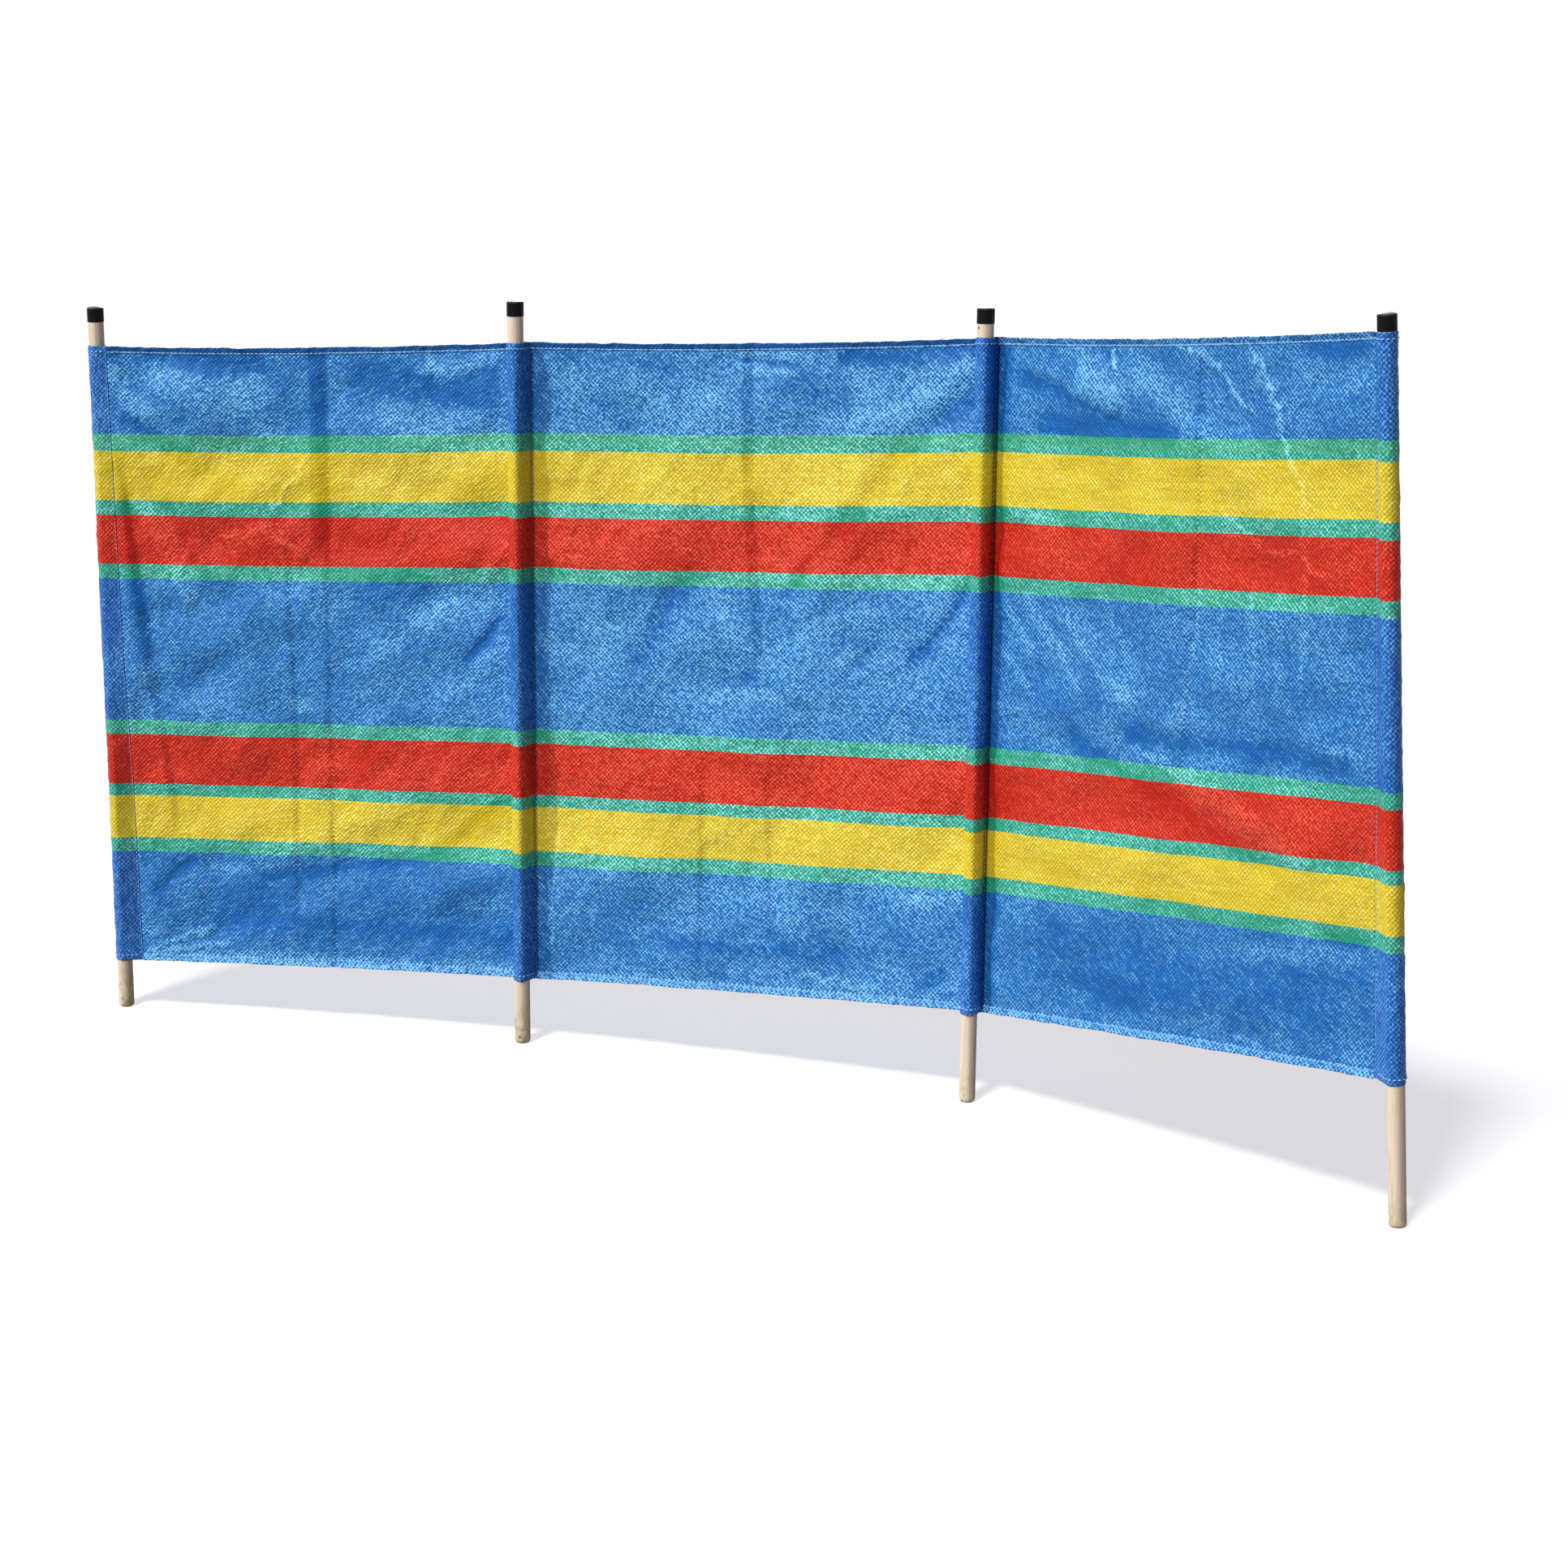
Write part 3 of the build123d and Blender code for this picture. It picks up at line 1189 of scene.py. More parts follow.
@dataclass
class Dowel:
    """A wooden pole, cut off level at the ground, with the knocks that it has taken."""

    stand: Stand
    chips: tuple[Chip, ...] = ()
    knots: tuple[Knot, ...] = ()
    foot_rounding: float = 4.5
    top_chamfer: float = 1.0
    levelled: float = 30.0
    sides: int = 56
    unevenness: float = 0.12
    seed: int = 1

    def build(self, finish: PoleWood) -> bpy.types.Object:
        """Makes the pole.

        Args:
            finish: Its wood.

        Returns:
            The pole's object.
        """
        stand = self.stand
        radius = stand.pole_radius
        rounding, chamfer = self.foot_rounding * MM, self.top_chamfer * MM
        curve = np.linspace(0, math.pi / 2, 7)
        foot = rounding * (1 - np.cos(curve))
        low = np.linspace(rounding + 2 * MM, 60 * MM, 22)
        high = np.linspace(70 * MM, stand.wood_top - chamfer, 60)
        heights = np.concatenate([foot, low, high, [stand.wood_top]])
        inset = np.zeros(len(heights))
        inset[: len(foot)] = rounding * (1 - np.sin(curve))
        inset[-1] = chamfer
        height, angle = np.meshgrid(heights, turns(self.sides), indexing="ij")
        draw = np.random.default_rng(self.seed)
        wobble = sum(
            np.sin(k * angle + draw.random() * 6 + height * draw.uniform(4, 22))
            for k in (2, 3, 5)
        )
        reach = radius - inset[:, None] - (1 + wobble / 3) * self.unevenness * MM / 2
        for chip in self.chips:
            beside = (angle - math.radians(chip.turn) + math.pi) % (2 * math.pi) - math.pi
            across = beside * radius / (chip.width * MM / 2)
            upward = (height - chip.height * MM) / (chip.tall * MM / 2)
            reach -= chip.depth * MM * ease(1.25 - np.hypot(across, upward))
        x, y = reach * np.cos(angle), reach * np.sin(angle)
        tilt = -(x * stand.along[2] + y * stand.back[2]) / stand.up[2]
        level = tilt * (1 - ease(height / (self.levelled * MM)))
        grid = stand.place(x, y, height + level)
        around = np.linspace(0, 2 * math.pi * radius, self.sides + 1)
        cloth = np.stack(np.meshgrid(around, heights), axis=-1)
        draft = Draft(f"pole_{stand.number}_wood")
        draft.add_grid(grid, cloth, (0.01, 0.01, 0.80, 0.99), wrap=True)
        self.close(draft, grid[0], stand.place(0.0, 0.0, 0.0), flip=True)
        self.close(draft, grid[-1], stand.place(0.0, 0.0, stand.wood_top), flip=False)
        spots = []
        for knot in self.knots:
            turn = math.radians(knot.turn)
            x, y = radius * math.cos(turn), radius * math.sin(turn)
            spots.append((stand.place(x, y, knot.height * MM), knot.radius))
        piece = draft.build(finish.material(spots), Slot.WOOD)
        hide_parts(f"pole_{stand.number}")
        return piece

    def close(self, draft: Draft, ring: np.ndarray, middle: np.ndarray, flip: bool) -> None:
        """Closes an end with a fan of triangles.

        Args:
            draft: The pole's mesh.
            ring: Points of the end's rim.
            middle: Point in the middle of the end.
            flip: Whether the end looks down.
        """
        count = len(ring)
        first = np.arange(count)
        second = (first + 1) % count
        hub = np.full(count, count)
        faces = np.stack([second, first, hub] if flip else [first, second, hub], axis=1)
        angle = np.append(turns(count), 0.0)
        reach = np.append(np.ones(count), 0.0)
        disc = np.stack([np.cos(angle) * reach, np.sin(angle) * reach], axis=1)
        centre = [0.9, 0.25 if flip else 0.75]
        points = np.concatenate([ring, middle.reshape(1, 3)])
        draft.add(points, faces, (disc * 0.011)[faces], (disc * 0.085 + centre)[faces])


@dataclass
class Cap:
    """A moulded cup pushed over a pole's top, with a soft brim and a flared lip."""

    stand: Stand
    brim_radius: float = 2.6
    crown_rise: float = 0.8
    lip: float = 0.25
    wall: float = 0.7
    skirt: float = 19.0
    sides: int = 72

    def outline(self) -> np.ndarray:
        """Radius and height of the cup's section, from inside the mouth to the crown."""
        radius = self.stand.cap_radius / MM
        top = (self.stand.cap_top - self.stand.cap_low) / MM
        brim = self.brim_radius
        wall, side, shoulder = radius - self.wall, radius - 0.1, top - brim
        turn = np.linspace(0, math.pi / 2, 9)
        corner = np.stack([np.cos(turn), np.sin(turn)], axis=1) * brim
        share = np.linspace(1, 0.02, 9)
        crown = np.stack([(radius - brim) * share, top - self.crown_rise * share**2], axis=1)
        inside = [(wall, min(self.skirt, top - 2.0)), (wall, 0.0)]
        mouth = [(radius - self.lip, 0.0), (radius, 0.3), (radius, 1.2), (side, 1.6)]
        flank = [(side, height) for height in np.linspace(4, shoulder - 3, 5)]
        flank.append((radius - 0.05, shoulder - 1.2))
        corner = corner + [radius - brim, shoulder - self.crown_rise]
        return np.concatenate([inside, mouth, flank, corner, crown[1:]])

    def build(self, finish: CapPlastic) -> bpy.types.Object:
        """Makes the cap.

        Args:
            finish: Its plastic.

        Returns:
            The cap's object.
        """
        outline = self.outline() * MM
        reach, angle = np.meshgrid(outline[:, 0], turns(self.sides), indexing="ij")
        height = np.repeat(outline[:, 1:], self.sides, axis=1)
        grid = self.stand.place(
            reach * np.cos(angle), reach * np.sin(angle), self.stand.cap_low + height
        )
        around = np.linspace(0, 2 * math.pi * self.stand.cap_radius, self.sides + 1)
        cloth = np.stack(np.meshgrid(around, runs(outline)), axis=-1)
        draft = Draft(f"cap_{self.stand.number}_moulding")
        draft.add_grid(grid, cloth, GRID_BAKE, wrap=True)
        piece = draft.build(finish.material(), Slot.CAP)
        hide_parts(f"cap_{self.stand.number}")
        return piece


# ---------------------------------------------------------------- stitching


@dataclass
class StitchRow:
    """A row of lockstitches along a line on the cloth, showing on both of its sides."""

    name: str
    pitch: float = 6.3
    dash: float = 0.82
    radius: float = 0.95
    stand_off: float = 0.45
    sides: int = 5

    def build(
        self, sides: list[tuple[np.ndarray, np.ndarray]], material: bpy.types.Material
    ) -> bpy.types.Object:
        """Makes the row.

        Args:
            sides: For each side of the cloth, points along it and the unit vectors out.
            material: The thread.

        Returns:
            The row's object.
        """
        draft = Draft(self.name)
        steps = np.array([-1.0, -0.8, 0.0, 0.8, 1.0])
        thick = np.array([0.15, 0.8, 1.0, 0.8, 0.15])
        lift = np.array([-1.3, -0.1, 1.0, -0.1, -1.3])
        turn = turns(self.sides)[:, None]
        for points, outward in sides:
            run = runs(points)
            count = max(1, int(run[-1] / (self.pitch * MM)))
            middles = (np.arange(count) + 0.5) * run[-1] / count
            reach = self.pitch * self.dash * MM / 2
            where = middles[:, None] + steps * reach
            line, out = (
                np.stack([np.interp(where, run, part[:, k]) for k in range(3)], axis=-1)
                for part in (points, outward)
            )
            out = unit(out)
            ahead = unit(line[:, -1:] - line[:, :1])
            side = unit(np.cross(ahead, out))
            line = line + out * (lift[None, :, None] * self.stand_off * MM)
            wide = self.radius * MM * thick[None, :, None, None]
            rings = (
                line[:, :, None]
                + side[:, :, None] * np.cos(turn) * wide
                + out[:, :, None] * np.sin(turn) * wide
            )
            self.add_dashes(draft, rings, where)
        return draft.build(material, Slot.HEM)

    def add_dashes(self, draft: Draft, rings: np.ndarray, where: np.ndarray) -> None:
        """Adds the dashes of one side.

        Args:
            draft: The row's mesh.
            rings: Points by dash, ring and side.
            where: Distance along the row by dash and ring.
        """
        dashes, count, sides = rings.shape[:3]
        ring = np.arange(count - 1)[:, None]
        side = np.arange(sides)[None, :]
        after = (side + 1) % sides
        corners = ((ring, side), (ring, after), (ring + 1, after), (ring + 1, side))
        quads = np.stack([(r * sides + c).ravel() for r, c in corners], axis=1)
        size = count * sides
        faces = (quads[None] + size * np.arange(dashes)[:, None, None]).reshape(-1, 4)
        ahead = np.repeat(where.ravel(), sides)
        around = np.tile(np.arange(sides) * self.radius * MM, dashes * count)
        cloth = np.stack([ahead, around], axis=1)
        grid = math.ceil(math.sqrt(dashes))
        cell = np.stack([np.arange(dashes) % grid, np.arange(dashes) // grid], axis=1) / grid
        inner = np.meshgrid(np.linspace(0.1, 0.9, sides), np.linspace(0.1, 0.9, count))
        inner = np.stack(inner, axis=-1).reshape(-1, 2)
        bake = (cell[:, None] + inner[None] / grid).reshape(-1, 2)
        start = draft.count
        draft.add(rings.reshape(-1, 3), faces, cloth[faces], bake[faces])
        ends = np.arange(sides)
        for cap in (ends[::-1], ends + size - sides):
            fan = (cap[None] + size * np.arange(dashes)[:, None]).reshape(-1, sides)
            draft.add_faces(start, fan, cloth[fan], bake[fan])


# ---------------------------------------------------------------- bays

HEM_SEED = 300
POCKET_SEED = 400
HEM_SECTION = (
    (-0.10, 10.4), (0.55, 10.2), (0.95, 9.5), (0.75, 8.8), (0.22, 8.2), (0.45, 7.3), (0.70, 5.6),
    (0.72, 3.8), (0.58, 2.0), (0.34, 0.7), (0.00, 0.0), (-0.42, 0.6), (-0.75, 2.0), (-0.90, 4.0),
    (-0.90, 6.0), (-0.55, 7.6), (-0.55, 8.6), (-0.40, 9.4), (-0.15, 9.5),
)


@dataclass
class Bay:
    """One bay of cloth: its sheet, its two hems and the rows that sew them."""

    surface: BaySurface
    finish: WovenCloth
    thickness: float = 0.28
    hem: float = 9.5
    stitch_inset: float = 8.2
    overlap: float = 0.8
    stitch_front: float = 0.35
    stitch_back: float = 0.85
    stitch_pull: float = 0.15
    waver: float = 0.30
    unevenness: float = 0.14
    top_curl: float = 2.6
    bottom_curl: float = 3.0
    top_sheen: float = 0.0
    bottom_sheen: float = 0.2
    columns: int = 229
    rows: int = 319
    hem_columns: int = 440
    offset: float = 0.0

    @property
    def height(self) -> float:
        """Height of the cloth, in metres."""
        return self.surface.first.cloth_height

    def build(self, thread: bpy.types.Material) -> list[bpy.types.Object]:
        """Makes the bay's pieces.

        Args:
            thread: The material of its stitches.

        Returns:
            The sheet, hems and stitch rows.
        """
        material = self.finish.material()
        # The top hem's cloth is darkened by painted shade (depth 0.74) and keeps almost no painted
        # sheen.
        folded = replace(
            self.finish, name=f"{self.finish.name}_folded", depth=0.74, sheen=0.05, patches=0.0
        ).material()
        sheet = self.build_sheet(material)
        extras = []
        for edge in ("bottom", "top"):
            extras.append(self.build_hem(edge, folded if edge == "top" else material))
            extras.append(self.build_stitches(edge, thread))
        number = self.surface.number
        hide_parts(f"panel_{number}")
        self.surface.width
        return [sheet, *extras]

    def build_sheet(self, material: bpy.types.Material) -> bpy.types.Object:
        """Makes the sheet between the two stitched lines.

        Args:
            material: The cloth.

        Returns:
            The sheet's object.
        """
        tuck = (self.stitch_inset - self.overlap) * MM
        share, height = np.meshgrid(
            np.linspace(0, 1, self.columns), np.linspace(tuck, self.height - tuck, self.rows)
        )
        points, wear_and_sheen = self.surface.points(share, height)
        normals = grid_normals(points)
        half = self.thickness / 2 * MM
        cloth = np.stack([share * self.surface.width + self.offset, height], axis=-1)
        draft = Draft(f"bay_{self.surface.number}_sheet")
        shell(draft, points + normals * half, points - normals * half, cloth, wear_and_sheen, step=2)
        return draft.build(material, Slot.CLOTH)

    def hem_line(self, edge: str, inset: float) -> tuple[np.ndarray, np.ndarray, np.ndarray]:
        """Points along a line near an edge, with the vectors to the front and to the edge.

        Args:
            edge: Which edge, bottom or top.
            inset: Distance of the line from the edge, in millimetres.

        Returns:
            Points, unit vectors to the front and unit vectors towards the edge.
        """
        share = np.linspace(0, 1, self.hem_columns)
        sign = 1.0 if edge == "top" else -1.0
        level = self.height - inset * MM if edge == "top" else inset * MM
        points, front, upward = self.surface.frame_at(share, level)
        return points, front, upward * sign

    def build_hem(self, edge: str, material: bpy.types.Material) -> bpy.types.Object:
        """Makes a hem: the edge folded to the back, with its raw end turned under.

        Args:
            edge: Which edge, bottom or top.
            material: The cloth.

        Returns:
            The hem's object.
        """
        number = self.surface.number
        share = np.linspace(0, 1, self.hem_columns)
        along = share * self.surface.width / MM
        seed = HEM_SEED + 10 * number + (1 if edge == "top" else 2)
        pull = self.stitch_pull * np.cos(2 * math.pi * along / StitchRow.pitch)
        waver = self.waver * Ripples(seed, 16, 110).at(along, np.zeros_like(along))
        uneven = self.unevenness * Ripples(seed + 50, 12, 40).at(along, 0 * along)
        rows = []
        curl = self.top_curl if edge == "top" else self.bottom_curl
        for out, inset in HEM_SECTION:
            points, front, outward = self.hem_line(edge, inset)
            near = 1 - inset / self.hem
            puff = 1 + uneven + pull * (inset / self.hem) ** 2
            out = out + curl * max(0.0, 1 - inset / self.stitch_inset) ** 1.4
            forward, outer = out * puff * MM, waver * near * MM
            rows.append(points + front * forward[:, None] + outward * outer[:, None])
        inset = np.array(HEM_SECTION)[:, 1] * MM
        level = self.height - inset if edge == "top" else inset
        x, h = np.meshgrid(along * MM + self.offset, np.append(level, level[0]))
        cloth = np.stack([x, h], axis=-1).transpose(1, 0, 2)
        draft = Draft(f"bay_{number}_{edge}_hem")
        ring = np.stack(rows).transpose(1, 0, 2)
        wear_and_sheen, flip = self.hem_wear_and_sheen(edge, along), edge == "bottom"
        draft.add_grid(ring, cloth, (0.01, 0.01, 0.90, 0.99), wrap=True, flip=flip, wear_and_sheen=wear_and_sheen)
        self.close_ends(draft, ring, cloth[:, :-1], flip)
        piece = draft.build(material, Slot.HEM)
        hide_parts(f"{edge}_hem_{number}")
        return piece

    def hem_wear_and_sheen(self, edge: str, along: np.ndarray) -> np.ndarray:
        """Painted sheen of a hem: painted highlights along the needle's holes and on the edge of
        the lower hem, over a broad painted sheen.

        Args:
            edge: Which edge, bottom or top.
            along: Places along it, in millimetres.

        Returns:
            The painted sheen, by place along the hem and place round it.
        """
        out, inset = np.array(HEM_SECTION).T
        # sewn paints a highlight along the stitch line; folded paints one on the lower hem's folded
        # edge.
        sewn = np.exp(-(((inset - 8.6) / 1.3) ** 2)) * (out > 0)
        folded = np.exp(-(((inset - 2.6) / 1.2) ** 2)) * (out > 0) * (edge == "bottom")
        level = self.top_sheen if edge == "top" else self.bottom_sheen
        start, height = self.offset + 1000.0, np.zeros_like(along)
        seed = HEM_SEED + self.surface.number
        uneven = ease(0.75 + 0.5 * Ripples(seed + 50, 8, 40).at(along + start, height))
        broad = level * (0.8 + 0.3 * Ripples(seed + 60, 50, 200).at(along, height))
        return broad[:, None] + uneven[:, None] * (0.9 * sewn + 0.6 * folded)

    def close_ends(
        self, draft: Draft, ring: np.ndarray, cloth: np.ndarray, flip: bool
    ) -> None:
        """Closes the two ends of a hem with one face each.

        Args:
            draft: The hem's mesh.
            ring: Points by place along the hem and place round it.
            cloth: Places on the cloth, in the same order.
            flip: Whether the hem's faces look the other way.
        """
        sides = ring.shape[1]
        order = np.arange(sides)
        for end, turned in ((0, not flip), (-1, flip)):
            face = (order[::-1] if turned else order)[None]
            disc = np.stack([np.cos(turns(sides)), np.sin(turns(sides))], axis=1) * 0.03
            centre = np.array([0.95, 0.25 if end == 0 else 0.75])
            draft.add(ring[end], face, cloth[end][face], (disc + centre)[face])

    def build_stitches(self, edge: str, thread: bpy.types.Material) -> bpy.types.Object:
        """Makes the row that sews a hem.

        Args:
            edge: Which edge, bottom or top.
            thread: The material.

        Returns:
            The row's object.
        """
        points, front, _ = self.hem_line(edge, self.stitch_inset)
        before = points + front * (self.stitch_front * MM)
        behind = points - front * self.stitch_back * MM
        row = StitchRow(f"bay_{self.surface.number}_{edge}_stitches")
        return row.build([(before, front), (behind, -front)], thread)


# ---------------------------------------------------------------- pockets


@dataclass
class Pocket:
    """The tube of cloth sewn round a pole, with turned-in mouths and its sewn seam."""

    stand: Stand
    finish: WovenCloth
    slack: float = 0.9
    thickness: float = 0.28
    hem: float = 9.5
    strip: float = 3.0
    wrinkle: float = 0.35
    ridge: float = 0.0
    ridge_turn: float = -74.0
    ridge_reach: float = 0.46
    rows: int = 190
    round_columns: int = 34
    flank_columns: int = 9
    mouth_rows: int = 12
    mouth_inset: float = 7.6
    bead: float = 0.3

    def path(self, height: np.ndarray) -> tuple[np.ndarray, np.ndarray]:
        """Route of the cloth round the pole at each height, seen from above.

        Args:
            height: Heights up the cloth, in metres.

        Returns:
            Distances along and behind, by height and step, in metres.
        """
        stand = self.stand
        radius = stand.pole_radius + self.slack * MM
        reach = np.abs(stand.seam_reach(height))
        layer = self.thickness * MM
        backs = stand.seam_level(height) + (-1.0 if stand.inner else 0.9) * layer
        fronts = backs - (2.0 if stand.inner else 1.8) * layer
        xs, ys = [], []
        for far, back_y, front_y in zip(reach, backs, fronts):
            sewn = far - self.strip * MM
            touches = []
            for level, sign in ((back_y, 1.0), (front_y, -1.0)):
                away = math.hypot(sewn, level)
                lean = math.acos(min(1.0, radius / away))
                touches.append(math.atan2(level, sewn) + sign * lean)
            start, end = touches
            sweep = np.linspace(start, end + 2 * math.pi, self.round_columns)
            beside = (sweep - 2 * math.pi - math.radians(self.ridge_turn)) / self.ridge_reach
            bend = radius + self.ridge * MM * np.exp(-beside**2)
            bend_x, bend_y = bend * np.cos(sweep), bend * np.sin(sweep)
            share = np.linspace(0, 1, self.flank_columns)[1:-1]
            out_x = sewn + (bend_x[0] - sewn) * share
            out_y = back_y + (bend_y[0] - back_y) * share
            in_x = bend_x[-1] + (sewn - bend_x[-1]) * share
            in_y = bend_y[-1] + (front_y - bend_y[-1]) * share
            xs.append(np.concatenate([[far, sewn], out_x, bend_x, in_x, [sewn, far]]))
            ys.append(np.concatenate([[back_y] * 2, out_y, bend_y, in_y, [front_y] * 2]))
        return stand.side * np.array(xs), np.array(ys)

    def build(
        self, thread: bpy.types.Material, seam_thread: bpy.types.Material
    ) -> list[bpy.types.Object]:
        """Makes the pocket and its stitches.

        Args:
            thread: The material of the stitches round its mouths.
            seam_thread: The material of its seam's stitches.

        Returns:
            The cloth and the stitch rows.
        """
        stand = self.stand
        full = stand.cloth_height
        hem = self.hem * MM
        low = np.linspace(0, hem, self.mouth_rows)[:-1]
        high = np.linspace(full - hem, full, self.mouth_rows)[1:]
        heights = np.concatenate([low, np.linspace(hem, full - hem, self.rows), high])
        x, y = self.path(heights)
        steps = np.hypot(np.diff(x, axis=1), np.diff(y, axis=1))
        run = np.concatenate([np.zeros((len(heights), 1)), np.cumsum(steps, axis=1)], axis=1)
        level = np.repeat(heights[:, None], x.shape[1], axis=1)
        centre = stand.place(x, y, stand.cloth_low + level)
        ruffle = self.ruffles(run / MM, level / MM) * self.freedom(x, y) * MM
        centre = centre + grid_normals(centre) * stand.side * ruffle[..., None]
        normals = grid_normals(centre) * stand.side
        edge = np.minimum(level, full - level)
        doubled = self.bead * MM * ease((hem - edge) / (1.5 * MM) + 0.5)
        lip = self.bead * MM * np.exp(-((edge / (0.7 * MM)) ** 2))
        half = (self.thickness / 2 * MM + doubled - lip)[..., None]
        outer, inner = centre + normals * half, centre - normals * half
        cloth = np.stack([run, level], axis=-1)
        draft = Draft(f"pocket_{stand.number}_cloth")
        order = slice(None, None, int(stand.side))
        shell(draft, outer[:, order], inner[:, order], cloth[:, order])
        piece = draft.build(self.finish.material(), Slot.CLOTH)
        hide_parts(f"sleeve_{stand.number}")
        extras = [self.build_seam(seam_thread)]
        for edge_name, low in (("bottom", True), ("top", False)):
            extras.append(self.build_mouth(edge_name, low, heights, outer, normals, thread))
        return [piece, *extras]

    def freedom(self, x: np.ndarray, y: np.ndarray) -> np.ndarray:
        """How freely the cloth may ruffle, from 0 at its sewn strip to 1 on its front."""
        reach = np.abs(self.stand.seam_reach(np.array(0.45)))
        free = ease((reach - self.stand.side * x) / (6 * MM))
        if self.stand.inner:
            free = free * ease((self.stand.seam_back - 1.5 * MM - y) / (6 * MM))
        return free

    def ruffles(self, run: np.ndarray, height: np.ndarray) -> np.ndarray:
        """Small wrinkles of the tube, outwards, in millimetres."""
        seed = POCKET_SEED + self.stand.number
        wide = Ripples(seed, 18, 90, upright=0.6).at(run, height)
        line = Ripples(seed + 20, 16, 60, upright=0.5).at(run, height)
        where = Ripples(seed + 40, 50, 160).at(run, height)
        ruffle = 0.6 * wide + 1.6 * np.exp(-np.abs(line) / 0.16) * ease(where)
        return np.clip(self.wrinkle * ruffle, -0.5, 3.0)

    def build_seam(self, thread: bpy.types.Material) -> bpy.types.Object:
        """Makes the row that sews the pocket shut, on the front and on the back.

        Args:
            thread: The material.

        Returns:
            The row's object.
        """
        stand = self.stand
        heights = np.linspace(1.5 * MM, stand.cloth_height - 1.5 * MM, 240)
        x = stand.seam_reach(heights) - stand.side * self.strip / 2 * MM
        level = stand.seam_level(heights)
        layers = (-3.5, 1.0) if stand.inner else (-1.4, 1.4)
        front_y, back_y = (count * self.thickness * MM for count in layers)
        rows = []
        for y, out in ((front_y, -stand.back), (back_y, stand.back)):
            points = stand.place(x, level + y, stand.cloth_low + heights)
            rows.append((points, np.repeat(out[None], len(points), axis=0)))
        row = StitchRow(f"pocket_{stand.number}_seam_stitches", radius=0.40, stand_off=0.20)
        return row.build(rows, thread)

    def build_mouth(
        self,
        name: str,
        low: bool,
        heights: np.ndarray,
        outer: np.ndarray,
        normals: np.ndarray,
        thread: bpy.types.Material,
    ) -> bpy.types.Object:
        """Makes the row round a mouth.

        Args:
            name: Which mouth.
            low: Whether it is the lower one.
            heights: Heights of the tube's rows.
            outer: Points of the tube's outer side.
            normals: Unit vectors out of it.
            thread: The material.

        Returns:
            The row's object.
        """
        inset = self.mouth_inset * MM
        target = inset if low else self.stand.cloth_height - inset
        row = int(np.argmin(np.abs(heights - target)))
        return StitchRow(f"pocket_{self.stand.number}_{name}_stitches").build(
            [(outer[row, 2:-2], normals[row, 2:-2])], thread
        )


# ---------------------------------------------------------------- studio


@dataclass(frozen=True)
class Lamp:
    """A far lamp. Its height and its width in the sky are degrees."""

    name: str
    heading: tuple[float, float]
    height: float
    strength: float
    softness: float

    def build(self, lit: bpy.types.Collection) -> None:
        """Makes the lamp.

        Args:
            lit: Holds all that the lamp lights.
        """
        data = bpy.data.lights.new(self.name, "SUN")
        data.energy = self.strength
        data.angle = math.radians(self.softness)
        lamp = bpy.data.objects.new(self.name, data)
        height = math.radians(self.height)
        level = Vector((*self.heading, 0.0)).normalized() * math.cos(height)
        towards = level + Vector((0, 0, math.sin(height)))
        lamp.rotation_mode = "QUATERNION"
        lamp.rotation_quaternion = towards.to_track_quat("Z", "Y")
        bpy.context.scene.collection.objects.link(lamp)
        lamp.light_linking.receiver_collection = lit


